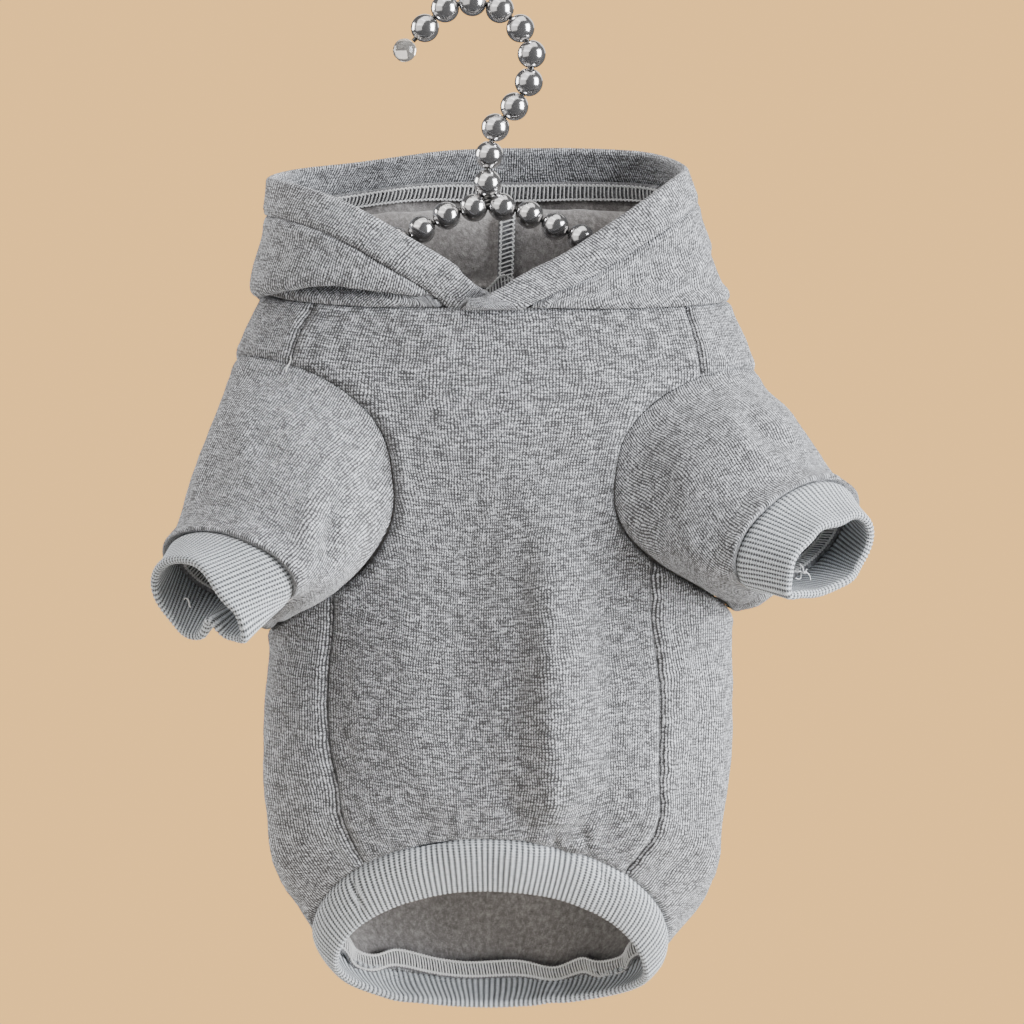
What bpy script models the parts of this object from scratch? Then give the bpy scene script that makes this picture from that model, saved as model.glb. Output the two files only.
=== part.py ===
"""A small dog's fleece hoodie hanging from a beaded wire hanger.

X runs to the viewer's right, Y away from the viewer and Z up. The viewer faces the
chest and belly side. The origin is where a rail would carry the hanger's hook, and
left and right are the viewer's. Sizes are in millimetres until a mesh is made.
"""
import math

import bmesh
import bpy
import numpy as np

MM = 0.001

# Cloth
FLEECE = 1.7  # brushed sweatshirt cloth, one layer
RIBBING = 2.6  # hem and cuffs: rib knit folded double, between the ribs
RIB_RISE = 0.5  # how far a rib stands out
FACING = 3.4  # the hood's edge band, cloth folded double
SEAM_GAP = 0.3
FRONT_CUT_BACK = 0.0025  # half a seam gap, as a share of half the front panel
BACK_CUT_BACK = 0.001  # and of the back panel

# Heights of the neck seam and of the hem seam: the belly is cut shorter than the back
NECK = {"front": -102.0, "left": -95.0, "right": -98.0, "back": -93.0}
HEM = {"front": -285.0, "left": -318.0, "right": -322.0, "back": -338.0}

# Body: half width to each side and depth to front and back, from neck (0) to hem (1)
BODY_COLUMNS = ("drop", "left", "right", "front", "back")
BODY_SECTIONS = (
    (0.00, 77.0, 83.0, 22.0, 23.0),
    (0.05, 83.5, 88.0, 23.5, 24.0),
    (0.14, 89.0, 94.0, 26.0, 25.5),
    (0.26, 85.0, 90.0, 29.0, 26.5),
    (0.40, 78.0, 85.5, 32.0, 28.0),
    (0.55, 76.0, 84.5, 34.5, 30.0),
    (0.70, 77.5, 84.5, 36.0, 31.0),
    (0.82, 76.5, 81.5, 35.5, 31.5),
    (0.92, 73.5, 78.5, 33.0, 31.0),
    (1.00, 60.5, 62.5, 27.0, 28.0),
)

# Angle round the body of the seams that join front and back, shoulder to hem
SEAM_COLUMNS = ("drop", "left", "right")
SEAM_LINES = (
    (0.00, -50.0, 55.0),
    (0.11, -51.0, 52.5),
    (0.32, -48.0, 46.0),
    (0.53, -45.0, 41.5),
    (0.64, -46.5, 44.0),
    (0.79, -46.0, 46.5),
    (0.88, -43.5, 47.5),
    (1.00, -44.5, 49.0),
)

# Largest folds of the body: rise is outwards, a trough is negative
FOLD_COLUMNS = ("top_angle", "low_angle", "start", "end", "rise", "width")
BODY_FOLDS = (
    (-45.0, -44.0, 0.50, 1.00, -2.6, 6.0),  # left side seam sinks into a crease
    (41.0, 48.0, 0.52, 0.96, -1.6, 6.0),  # right side seam
    (20.0, 14.0, 0.30, 0.99, 2.6, 11.0),  # soft ridge down the belly
    (-6.0, -2.0, 0.24, 0.92, -1.6, 13.0),  # hollow beside it
    (150.0, 160.0, 0.12, 0.80, 2.4, 15.0),  # two soft folds down the back
    (206.0, 200.0, 0.16, 0.94, 2.2, 15.0),
    (25.0, 22.0, 0.86, 1.06, -2.2, 5.0),  # gathers where the hem band draws in
    (-20.0, -18.0, 0.88, 1.06, -1.4, 6.0),
    (96.0, 92.0, 0.82, 1.06, -1.8, 9.0),
    (-104.0, -98.0, 0.84, 1.06, -1.8, 9.0),
    (137.0, 134.0, 0.86, 1.06, -1.8, 8.0),
    (226.0, 228.0, 0.86, 1.06, -1.8, 8.0),
)

# Armholes as rounded boxes laid on the body: centre, then reach each way
ARMHOLES = {
    "left": {"angle": -72.0, "drop": 0.315, "front": 49.0, "back": -46.0,
             "up": 0.215, "down": 0.222, "squareness": 2.5},
    "right": {"angle": 77.0, "drop": 0.320, "front": -47.5, "back": 45.0,
              "up": 0.210, "down": 0.170, "squareness": 2.6},
}

# Sleeves: where the cuff is sewn on, the way the sleeve points there, and the two
# half axes of its end ring. Fullness is how far the cloth stands out over the ring.
SLEEVES = {
    "left": {"end": (-87.0, -40.0, -192.0), "axis": (-0.62, -0.63, -0.47),
             "outer": (-20.0, 9.5, 8.5), "near": (6.5, -11.0, 9.0),
             "fullness": 1.27, "lift": 13.0,
             "cuff_end": (-98.5, -51.0, -202.0),
             "cuff_outer": (-15.0, 8.0, 6.0), "cuff_near": (1.0, -7.0, 12.0)},
    "right": {"end": (104.5, -38.0, -180.5), "axis": (0.66, -0.72, -0.20),
              "outer": (18.0, 9.5, 15.0), "near": (-8.5, -10.5, 10.0),
              "fullness": 1.25, "lift": 13.0,
              "cuff_end": (116.5, -51.0, -186.5),
              "cuff_outer": (12.6, 8.0, 11.0), "cuff_near": (-6.5, -7.0, 7.5)},
}

SLEEVE_TURN = 0.12  # share of a turn from a ring's outer side to its top
SLEEVE_UNDERLAY = 0.12  # share of the way to the armhole's centre that gives its slope
SLEEVE_BLENDS = ((0.28, 1.0), (0.70, 2.0))  # towards the full ring, and away from the body
SLEEVE_BACK = 6.0  # the sleeve is fullest from here to the lip
SLEEVE_LIP = 1.6  # the lip ends this far before the cuff
CUFF_WAIST = 0.8  # how far a cuff draws in halfway

# Hem band: rings from the hem seam to the free edge
HEM_BAND_COLUMNS = ("share", "left", "right", "front", "back", "z_front", "z_side", "z_back")
HEM_BAND = (
    (0.00, 60.0, 62.0, 27.0, 28.0, -285.3, -320.3, -338.3),
    (0.45, 58.5, 60.5, 26.0, 26.0, -292.5, -327.0, -343.0),
    (1.00, 52.5, 54.5, 19.0, 18.0, -303.0, -332.5, -347.0),
)
HEM_LEAN = 2.0  # the band lies this much higher on the left, lower on the right
HEM_GAP = 1.3  # below the hem seam, where the panels' cut edges slope
HEM_RIBS = 124
CUFF_RIBS = 60

# Hood by stations round the neck: the rim's free edge, the heights above the neck
# seam of the fold that turns the cloth down and of the one that turns it up again,
# how far each layer stands off the last, and how far the side bows out under the rim
HOOD_COLUMNS = ("station", "x", "y", "z", "turn_down", "turn_up", "spread", "bow")
HOOD_LEFT = (
    (1.0, 1.5, -20.0, -96.5, 4.0, 4.0, 0.0, 0.0),
    (8.0, -2.6, -20.5, -94.0, 4.0, 4.0, 0.0, 0.0),
    (20.0, -11.6, -22.0, -86.4, 5.0, 6.0, 0.2, 1.0),
    (35.0, -26.1, -22.0, -77.8, 7.0, 8.5, 1.0, 2.5),
    (50.0, -40.0, -20.0, -69.6, 12.0, 7.0, 3.0, 4.0),
    (65.0, -54.0, -15.0, -62.7, 10.0, 2.5, 3.0, 4.0),
    (80.0, -68.9, -7.0, -57.3, 8.5, -0.5, 2.9, 1.5),
    (92.0, -76.3, 2.0, -54.8, 9.0, 0.0, 2.8, 0.0),
    (105.0, -69.3, 14.0, -51.4, 15.0, -4.0, 3.2, 3.0),
    (125.0, -43.9, 24.0, -47.7, 25.0, -14.0, 4.6, 6.5),
    (150.0, -17.3, 29.0, -43.7, 28.0, -19.0, 6.0, 9.0),
    (180.0, 5.9, 31.0, -42.4, 28.0, -20.0, 6.5, 9.5),
)
HOOD_RIGHT = (
    (-7.0, -6.8, -26.5, -99.0, 3.0, 3.0, 0.0, 0.0),
    (6.0, -1.2, -26.5, -97.5, 3.0, 3.0, 0.0, 0.0),
    (20.0, 10.5, -26.0, -90.6, 3.0, 5.0, 0.0, 0.0),
    (35.0, 24.9, -23.5, -83.3, 5.0, 9.0, 0.0, 1.0),
    (50.0, 37.8, -20.0, -74.8, 7.0, 14.0, 0.0, 2.0),
    (65.0, 52.8, -15.0, -64.4, 10.0, 18.0, 0.0, 2.4),
    (80.0, 63.5, -7.0, -56.2, 13.0, 20.0, 0.2, 1.0),
    (93.0, 68.3, 3.0, -51.7, 16.0, 19.0, 1.2, 0.6),
    (106.0, 65.0, 14.0, -47.8, 21.0, 13.0, 3.4, 3.0),
    (125.0, 53.9, 24.0, -44.1, 30.0, -6.0, 4.8, 6.5),
    (150.0, 30.9, 30.0, -42.5, 29.0, -17.0, 6.0, 9.0),
    (180.0, 5.9, 31.0, -42.4, 28.0, -20.0, 6.5, 9.5),
)
FACING_WIDTH = 13.0
OVERLAP_RISE = 2.2  # the right edge laps in front of the left one at the throat
OVERLAP_REACH = 22.0  # stations
HIGHEST_TURN = 0.55  # of the way from neck seam to rim
FOLD_LEAN = 0.5  # of the spread, inwards below a fold
FOLD_ROLL = 0.28  # of the spread, outwards where the cloth turns
NECK_WIDTH, NECK_DEPTH = 82.0, 23.0  # half axes of the neck, for the way a side faces
STATION_LENGTH = 0.5  # of the hood's back, to a station
SPARE_CLOTH = 2.5  # a hood half starts where this much lies below its edge band

# Hanger: wire centre line, in the plane y = 0, through the beads' centres
HOOK_LINE = ((-26.2, -7.4), (-23.4, -4.4), (-16.4, 3.3), (-7.2, 6.2), (3.0, 4.4),
             (10.9, -2.4), (15.2, -11.6), (14.2, -22.0), (9.0, -30.6), (2.6, -37.6),
             (0.4, -47.4), (-0.2, -56.6), (0.4, -61.9))
ARM_LINE = ((-69.5, -91.4), (-62.0, -89.0), (-48.0, -84.0), (-33.0, -77.6), (-21.0, -72.3),
            (-13.0, -67.8), (-4.0, -65.6), (6.0, -65.6), (14.6, -68.2), (22.9, -72.0),
            (35.0, -77.4), (49.0, -83.4), (62.0, -88.4), (69.5, -91.2))
WIRE_RADIUS = 0.9
BEAD_DIAMETER = 9.6
BEAD_PROFILE = (24.0, 60.0, 90.0, 120.0, 156.0)  # from one hole to the other, in degrees
TIP_BEAD_DIAMETER = 8.2
BEAD_PITCH = 9.95
NECK_BEAD = 5.4  # from the hook's lower end up to the centre of its last bead
HOOK_BEADS = 11
ARM_BEADS = 7  # on each arm

# Mesh fineness
FRONT_COLUMNS = 16
BACK_COLUMNS = 24
BODY_ROWS = 20
SLEEVE_ROWS = 8
HOOD_STATIONS = 18
HOOD_ROWS = 14
EDGE_STEPS = 720  # places round an armhole that a panel's rim may move to
RING_STEP = 0.006  # least share of a turn between two columns of a sleeve

COLOURS = {
    "heather grey": (0.33, 0.33, 0.35, 1.0),
    "rib grey": (0.50, 0.52, 0.56, 1.0),
    "pearl grey": (0.20, 0.20, 0.21, 1.0),
    "clear": (0.85, 0.82, 0.76, 1.0),
}


def columns(names, rows):
    """A table's rows as one array for each named column."""
    return {name: np.array([row[i] for row in rows], float) for i, name in enumerate(names)}


def smooth(places, values, at):
    """A smooth curve through the values given at those places, read at other places."""
    at = np.clip(at, places[0], places[-1])
    slopes = np.gradient(values, places)
    i = np.clip(np.searchsorted(places, at, side="right") - 1, 0, len(places) - 2)
    step = places[i + 1] - places[i]
    t = (at - places[i]) / step
    return (values[i] * (1 + 2 * t) * (1 - t) ** 2 + slopes[i] * step * t * (1 - t) ** 2
            + values[i + 1] * t * t * (3 - 2 * t) - slopes[i + 1] * step * t * t * (1 - t))


def spline_weights(count, places, degree=3):
    """Weights of a clamped B-spline: a row for each place from 0 to 1, a column for each
    control point."""
    knots = np.concatenate((np.zeros(degree), np.linspace(0, 1, count - degree + 1), np.ones(degree)))
    t = np.clip(places, 0, 1 - 1e-9)[:, None]
    basis = ((knots[:-1] <= t) & (t < knots[1:])).astype(float)
    for p in range(1, degree + 1):
        rise, fall = knots[p:-1] - knots[:-p - 1], knots[p + 1:] - knots[1:-p]
        up = np.where(rise > 0, (t - knots[:-p - 1]) / np.where(rise > 0, rise, 1), 0)
        down = np.where(fall > 0, (knots[p + 1:] - t) / np.where(fall > 0, fall, 1), 0)
        basis = up * basis[:, :-1] + down * basis[:, 1:]
    return basis


def unit(vectors):
    return vectors / np.maximum(np.linalg.norm(vectors, axis=-1, keepdims=True), 1e-9)


# ---- Body ----

BODY = columns(BODY_COLUMNS, BODY_SECTIONS)
SEAMS = columns(SEAM_COLUMNS, SEAM_LINES)


def height(levels, angle):
    """Height of a seam round the body, from its levels at front, sides and back."""
    face, side = np.cos(np.radians(angle)), np.sin(np.radians(angle))
    edge = np.where(side < 0, levels["left"], levels["right"])
    to_front = (levels["front"] - edge) * np.maximum(face, 0)
    to_back = (levels["back"] - edge) * np.maximum(-face, 0)
    return edge + to_front + to_back


def fold_rise(angle, drop):
    """How far the folds lift the body's cloth at a place, with soft ends and flanks."""
    rise = np.zeros(np.broadcast(angle, drop).shape)
    for row in BODY_FOLDS:
        fold = dict(zip(FOLD_COLUMNS, row))
        along = np.clip((drop - fold["start"]) / (fold["end"] - fold["start"]), 0, 1)
        middle = fold["top_angle"] + (fold["low_angle"] - fold["top_angle"]) * along
        away = (angle - middle + 180) % 360 - 180
        rise += fold["rise"] * np.sin(np.pi * along) ** 0.8 * np.exp(-(away / fold["width"]) ** 2)
    return rise


def body_point(angle, drop):
    """A point on the middle of the body's cloth. Angle 0 is the front centre and 90 the
    right side; drop runs from the neck seam, 0, to the hem seam, 1."""
    angle, drop = np.broadcast_arrays(np.asarray(angle, float), np.asarray(drop, float))
    side, face = np.sin(np.radians(angle)), np.cos(np.radians(angle))
    size = {name: smooth(BODY["drop"], BODY[name], drop) for name in ("left", "right", "front", "back")}
    wide = np.where(side < 0, size["left"], size["right"])
    deep = np.where(face > 0, size["front"], size["back"])
    out = unit(np.stack((side / wide, -face / deep), -1)) * fold_rise(angle, drop)[..., None]
    z = height(NECK, angle) * (1 - drop) + height(HEM, angle) * drop
    return np.stack((wide * side + out[..., 0], -deep * face + out[..., 1], z), -1)


def armhole_edge(side, shares):
    """(angle, drop) round an armhole, from the shoulder over the front to the underarm."""
    hole = ARMHOLES[side]
    turn = 2 * np.pi * np.asarray(shares)
    power = 2 / hole["squareness"]
    ahead, up = np.sin(turn), np.cos(turn)
    across = np.sign(ahead) * np.abs(ahead) ** power
    rise = np.sign(up) * np.abs(up) ** power
    reach = np.where(ahead > 0, hole["front"], -hole["back"])
    drop = hole["drop"] - rise * np.where(up > 0, hole["up"], hole["down"])
    return hole["angle"] + across * reach, drop


def inside_armhole(side, angle, drop):
    hole = ARMHOLES[side]
    away = (angle - hole["angle"] + 180) % 360 - 180
    reach = np.where(away * np.sign(hole["front"]) > 0, hole["front"], hole["back"])
    lift = np.where(drop < hole["drop"], hole["up"], hole["down"])
    power = hole["squareness"]
    return np.abs(away / reach) ** power + np.abs((drop - hole["drop"]) / lift) ** power < 1


def body_panel(angles, drops, holes):
    """Points and faces of a panel on the body. Cells inside an armhole are left out, and
    the points round the gap move onto the armhole's edge. Also gives those points."""
    rows, cols = angles.shape
    cells = grid_faces(rows, cols)
    angle, drop = angles.ravel().copy(), drops.ravel().copy()
    edges = {}
    for side in holes:
        gone = inside_armhole(side, angle[cells].mean(1), drop[cells].mean(1))
        rim = np.intersect1d(cells[gone], cells[~gone])
        cells = cells[~gone]
        shares = np.arange(0, 1, 1 / EDGE_STEPS)
        edge_angle, edge_drop = armhole_edge(side, shares)
        edge_points = body_point(edge_angle, edge_drop)
        here = body_point(angle[rim], drop[rim])
        near = np.linalg.norm(here[:, None] - edge_points[None], axis=2).argmin(1)
        turns = np.round((angle[rim] - edge_angle[near]) / 360)
        angle[rim], drop[rim] = edge_angle[near] + 360 * turns, edge_drop[near]
        edges[side] = shares[near]
    used, cells = np.unique(cells, return_inverse=True)
    return body_point(angle[used], drop[used]), cells.reshape(-1, 4), edges


def seam_angle(side, drop):
    return smooth(SEAMS["drop"], SEAMS[side], drop)


def front_panel():
    drops = np.repeat(np.linspace(0, 1, BODY_ROWS + 1)[:, None], FRONT_COLUMNS + 1, 1)
    across = np.linspace(-1, 1, FRONT_COLUMNS + 1) * (1 - FRONT_CUT_BACK)
    angles = np.where(across < 0, -across * seam_angle("left", drops), across * seam_angle("right", drops))
    return body_panel(angles, drops, ("left", "right"))


def back_panel():
    drops = np.repeat(np.linspace(0, 1, BODY_ROWS + 1)[:, None], BACK_COLUMNS + 1, 1)
    across = np.linspace(BACK_CUT_BACK, 1 - BACK_CUT_BACK, BACK_COLUMNS + 1)
    angles = seam_angle("right", drops) * (1 - across) + (360 + seam_angle("left", drops)) * across
    return body_panel(angles, drops, ("left", "right"))


# ---- Sleeves and cuffs ----

def ring(centre, outer, near, shares, size=1.0):
    """A ring that starts at its outer side and turns over its near side."""
    turn = 2 * np.pi * shares[:, None]
    return np.array(centre) + size * (np.cos(turn) * np.array(outer) + np.sin(turn) * np.array(near))


def sleeve_grid(side, shares):
    """Rings of a sleeve from the armhole to the cuff seam. It leaves the body along the
    body's own surface, fills out, and turns in over the cuff."""
    sleeve, hole = SLEEVES[side], ARMHOLES[side]
    angle, drop = armhole_edge(side, shares)
    centre_angle, centre_drop = hole["angle"], hole["drop"]
    start = body_point(angle, drop)
    within_angle = angle + (centre_angle - angle) * SLEEVE_UNDERLAY
    within_drop = drop + (centre_drop - drop) * SLEEVE_UNDERLAY
    inwards = body_point(within_angle, within_drop) - start
    overlap = (0.55 + 0.45 * np.cos(2 * np.pi * shares))[:, None]
    start = start + unit(inwards) * (SEAM_GAP + FLEECE * (1.25 - 0.75 * overlap))
    middle = body_point(centre_angle, centre_drop)
    axis = np.array(sleeve["axis"]) / np.linalg.norm(sleeve["axis"])
    turned = shares + SLEEVE_TURN
    end = ring(sleeve["end"], sleeve["outer"], sleeve["near"], turned)
    full = ring(sleeve["end"], sleeve["outer"], sleeve["near"], turned, sleeve["fullness"])
    away = unit(start - middle)
    outwards = unit(np.array(sleeve["end"]) - middle)
    lift = sleeve["lift"] * outwards * overlap / 2
    (early, early_away), (late, late_away) = SLEEVE_BLENDS
    control = np.stack((
        start,
        start + inwards * 0.9 * overlap + outwards * 3.0 * (1 - overlap),
        start * (1 - early) + full * early + lift + away * early_away,
        start * (1 - late) + full * late + away * late_away,
        full - axis * SLEEVE_BACK,
        full + axis * 0.5,
        full * 0.7 + end * 0.3 + axis * 0.3,
        end - axis * SLEEVE_LIP,
    ))
    return np.tensordot(spline_weights(len(control), np.linspace(0, 1, SLEEVE_ROWS + 1)), control, 1)


def cuff_rings(side, shares):
    """Middle line of the cuff's doubled cloth, from the seam to the folded edge."""
    sleeve = SLEEVES[side]
    axis = np.array(sleeve["axis"]) / np.linalg.norm(sleeve["axis"])
    seam = ring(sleeve["end"], sleeve["outer"], sleeve["near"], shares) + axis * (SEAM_GAP + 0.2)
    edge = ring(sleeve["cuff_end"], sleeve["cuff_outer"], sleeve["cuff_near"], shares)
    middle = (seam + edge) / 2
    centre = (np.array(sleeve["end"]) + np.array(sleeve["cuff_end"])) / 2
    waist = middle - unit(middle - centre) * CUFF_WAIST
    return np.stack((seam, waist, edge))


# ---- Hem ----

HEM_TABLE = columns(HEM_BAND_COLUMNS, HEM_BAND)


def hem_rings(angles, places):
    """Middle line of the hem band's doubled cloth, from the seam to the folded edge."""
    side, face = np.sin(np.radians(angles)), np.cos(np.radians(angles))
    rings = []
    for place in places:
        size = {name: smooth(HEM_TABLE["share"], HEM_TABLE[name], place) for name in HEM_BAND_COLUMNS[1:]}
        wide = np.where(side < 0, size["left"], size["right"])
        deep = np.where(face > 0, size["front"], size["back"])
        lean = -HEM_LEAN * side
        z = size["z_side"] + lean + (size["z_front"] - size["z_side"] - lean) * np.maximum(face, 0)
        z += (size["z_back"] - size["z_side"] - lean) * np.maximum(-face, 0)
        seam = body_point(angles, 1.0)
        here = np.stack((wide * side, -deep * face, z), -1)
        share = (1 - place) ** 2
        here = here * (1 - share) + (seam + np.array((0, 0, -HEM_GAP))) * share
        rings.append(here)
    return np.stack(rings)


# ---- Hood ----

HOOD = {"left": columns(HOOD_COLUMNS, HOOD_LEFT), "right": columns(HOOD_COLUMNS, HOOD_RIGHT)}
PROFILE_STEPS = 160


def hood_profile(side, station):
    """The hood's cloth at one station, from the neck seam up over its folds to the rim:
    many points, with the length along them."""
    table = HOOD[side]
    size = {name: smooth(table["station"], table[name], station) for name in HOOD_COLUMNS[1:]}
    angle = -station if side == "left" else station
    neck = body_point(angle, 0.0)
    neck[2] += SEAM_GAP
    lap = OVERLAP_RISE * math.exp(-(station / OVERLAP_REACH) ** 2)
    neck[1] += lap if side == "left" else -lap
    rim = np.array((size["x"], size["y"], size["z"]))
    rise = max(rim[2] - neck[2], 0.6)
    turn = math.radians(angle)
    out = unit(np.array((math.sin(turn) / NECK_WIDTH, -math.cos(turn) / NECK_DEPTH, 0.0)))

    def at(up, off):
        share = min(max(up / rise, 0), 1)
        point = neck * (1 - share) + rim * share
        point[2] = neck[2] + up
        return point + out * off

    down = min(size["turn_down"], rise * HIGHEST_TURN)
    up = min(size["turn_up"], rise * HIGHEST_TURN)
    spread = size["spread"]
    lean, roll = FOLD_LEAN * spread, FOLD_ROLL * spread
    bow = size["bow"]
    control = np.array((
        at(0, 0), at(down * 0.5, -lean), at(down, -lean - roll), at(down, spread - lean + roll),
        at(up, spread - roll), at(up, 2 * spread + roll),
        at(up + (rise - up) * 0.35, 1.4 * spread + bow * 0.4), at(rise * 0.78, bow), rim,
    ))
    points = spline_weights(len(control), np.linspace(0, 1, PROFILE_STEPS + 1)) @ control
    lengths = np.concatenate(([0], np.cumsum(np.linalg.norm(np.diff(points, axis=0), axis=1))))
    return points, lengths


def hood_rows(side, stations, low, high, rows):
    """Points on the hood from low to high, each a function of the profile's length."""
    grid = []
    for station in stations:
        points, lengths = hood_profile(side, station)
        # Rows lie closer together where the cloth turns, as the curve's own steps do
        measure = lengths / lengths[-1] + np.linspace(0, 1, len(points))
        first, last = np.interp((low(lengths[-1]), high(lengths[-1])), lengths, measure)
        places = np.linspace(first, last, rows)
        grid.append(np.stack([np.interp(places, measure, points[:, i]) for i in range(3)], -1))
    return np.stack(grid, 1)


def facing_starts(side):
    """The first station whose profile is long enough to hold cloth below the facing."""
    stations = np.linspace(0, 60, 241)
    spare = [hood_profile(side, s)[1][-1] - FACING_WIDTH for s in stations]
    return stations[np.argmax(np.array(spare) > SPARE_CLOTH)]


def hood_panel(side):
    last = 180 - SEAM_GAP / 2 / STATION_LENGTH
    stations = np.linspace(facing_starts(side), last, HOOD_STATIONS + 1)
    grid = hood_rows(side, stations, lambda whole: 0.0,
                     lambda whole: max(whole - FACING_WIDTH - SEAM_GAP, 0.9), HOOD_ROWS + 1)
    return grid[:, ::-1]


def facing_grid():
    """Rows of the hood's edge band, seam to free edge, from the left end round to the right."""
    def rows(side, stations):
        return hood_rows(side, stations, lambda whole: max(whole - FACING_WIDTH + SEAM_GAP / 2, 0.0),
                         lambda whole: whole, 4)

    left = rows("left", np.linspace(HOOD["left"]["station"][0], 180, HOOD_STATIONS + 5))
    right = rows("right", np.linspace(180, HOOD["right"]["station"][0], HOOD_STATIONS + 5))
    return np.concatenate((left, right[:, 1:]), 1)


# ---- Meshes ----

def material(name, roughness, metallic=0.0):
    made = bpy.data.materials.get(name) or bpy.data.materials.new(name)
    made.use_nodes = True
    shader = made.node_tree.nodes["Principled BSDF"]
    shader.inputs["Base Color"].default_value = COLOURS[name]
    shader.inputs["Roughness"].default_value = roughness
    shader.inputs["Metallic"].default_value = metallic
    made.diffuse_color = COLOURS[name]
    return made


def add_object(name, mesh, finish, collection):
    made = bpy.data.objects.new(name, mesh)
    collection.objects.link(made)
    if not mesh.materials:
        mesh.materials.append(finish)
    return made


def mesh_of(name, points, faces):
    mesh = bpy.data.meshes.new(name)
    mesh.from_pydata((np.asarray(points) * MM).tolist(), [], [list(map(int, face)) for face in faces])
    return mesh


def grid_faces(rows, cols, closed=False):
    number = np.arange(rows * cols).reshape(rows, cols)
    right = np.roll(number, -1, 1) if closed else number[:, 1:]
    left = number if closed else number[:, :-1]
    return np.stack((left[:-1], left[1:], right[1:], right[:-1]), -1).reshape(-1, 4)


def add_cloth(name, points, faces, thickness, finish, collection):
    """One layer of cloth: an open surface, given its thickness either side by Solidify."""
    made = add_object(name, mesh_of(name, points, faces), finish, collection)
    made.data.shade_smooth()
    wall = made.modifiers.new("thickness", "SOLIDIFY")
    wall.thickness = thickness * MM
    wall.offset = 0.0
    wall.use_rim = True
    return made


def surface_normals(grid, closed):
    """Outward unit normals of a grid of points, rows down and columns to the right."""
    if closed:
        across = np.roll(grid, -1, 1) - np.roll(grid, 1, 1)
    else:
        across = np.gradient(grid, axis=1)
    return unit(np.cross(np.gradient(grid, axis=0), across))


def add_doubled_band(name, grid, thickness, finish, collection, ribs=0):
    """Cloth folded double along the last row, with a rounded free edge. Ribs, two columns
    to each, are raised in the outer points only."""
    closed = ribs > 0
    normals = surface_normals(grid, closed)
    rows, cols = grid.shape[:2]
    raised = np.zeros(cols)
    raised[::2] = RIB_RISE if ribs else 0.0
    half = thickness / 2
    outer = grid + normals * (half + raised[None, :, None])
    inner = grid - normals * half
    down = unit(grid[-1] - grid[-2])
    lip = grid[-1] + down * half * 0.9 + normals[-1] * raised[:, None] * 0.6
    pulled = [grid[-1] - down * half * 0.5 + normals[-1] * (half * 0.9 + raised[:, None]),
              grid[-1] - down * half * 0.5 - normals[-1] * half * 0.9]
    loop = np.stack([*outer[:-1], pulled[0], lip, pulled[1], *inner[:-1][::-1]])
    loop = np.concatenate((loop, loop[:1]))
    ring_count = len(loop) - 1
    number = np.arange(ring_count * cols).reshape(ring_count, cols)
    number = np.concatenate((number, number[:1]))
    if not closed:
        faces = np.stack((number[:-1, :-1], number[1:, :-1], number[1:, 1:], number[:-1, 1:]), -1)
        ends = [number[:-1, 0][::-1].tolist(), number[:-1, -1].tolist()]
        faces = faces.reshape(-1, 4).tolist() + ends
        return add_object(name, mesh_of(name, loop[:-1].reshape(-1, 3), faces), finish, collection)
    # Round the plain inside, only every other column is kept
    plain = np.arange(ring_count) >= rows + 1
    faces = []
    for low in range(ring_count):
        high = (low + 1) % ring_count
        for first in range(0, cols, 2):
            middle, last = first + 1, (first + 2) % cols
            if not plain[low] and not plain[high]:
                for a, b in ((first, middle), (middle, last)):
                    faces.append([number[low, a], number[high, a], number[high, b], number[low, b]])
                continue
            face = [number[low, first], number[high, first], number[high, last], number[low, last]]
            if not plain[high]:
                face.insert(2, number[high, middle])
            if not plain[low]:
                face.append(number[low, middle])
            faces.append(face)
    used, faces_at = np.unique(np.concatenate([np.array(f) for f in faces]), return_inverse=True)
    ends = np.cumsum([0] + [len(f) for f in faces])
    faces = [faces_at[a:b].tolist() for a, b in zip(ends[:-1], ends[1:])]
    return add_object(name, mesh_of(name, loop[:-1].reshape(-1, 3)[used], faces), finish, collection)


# ---- Hanger ----

def line_through(points, count):
    """Evenly spaced points along a smooth line through the given (x, z) points."""
    given = np.array(points, float)
    reach = np.concatenate(([0], np.cumsum(np.linalg.norm(np.diff(given, axis=0), axis=1))))
    fine = np.linspace(0, reach[-1], 600)
    line = np.stack([smooth(reach, given[:, i], fine) for i in range(2)], -1)
    length = np.concatenate(([0], np.cumsum(np.linalg.norm(np.diff(line, axis=0), axis=1))))
    even = np.linspace(0, length[-1], count)
    return np.stack([np.interp(even, length, line[:, i]) for i in range(2)], -1), length[-1]


def add_bead_chain(name, points, places, finish, collection):
    """Beads threaded tight on a wire, as one tube whose radius follows the beads. Each
    place is how far along the wire a bead's centre lies."""
    line, whole = line_through(points, 600)
    radius = BEAD_DIAMETER / 2
    turns = np.radians(BEAD_PROFILE)
    along = np.concatenate([place - radius * np.cos(turns) for place in sorted(places)])
    sizes = np.tile(radius * np.sin(turns), len(places))
    along = np.concatenate(([0.0], along, [whole]))
    sizes = np.concatenate(([WIRE_RADIUS], sizes, [WIRE_RADIUS]))
    curve = bpy.data.curves.new(name, "CURVE")
    curve.dimensions = "3D"
    spline = curve.splines.new("POLY")
    spline.points.add(len(along) - 1)
    reach = np.linspace(0, whole, len(line))
    for point, at, size in zip(spline.points, along, sizes):
        x, z = (np.interp(at, reach, line[:, i]) for i in range(2))
        point.co = (x * MM, 0.0, z * MM, 1.0)
        point.radius = size / radius
    curve.bevel_depth = radius * MM
    curve.bevel_resolution = 2
    curve.use_fill_caps = True
    curve.materials.append(finish)
    collection.objects.link(bpy.data.objects.new(name, curve))


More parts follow.
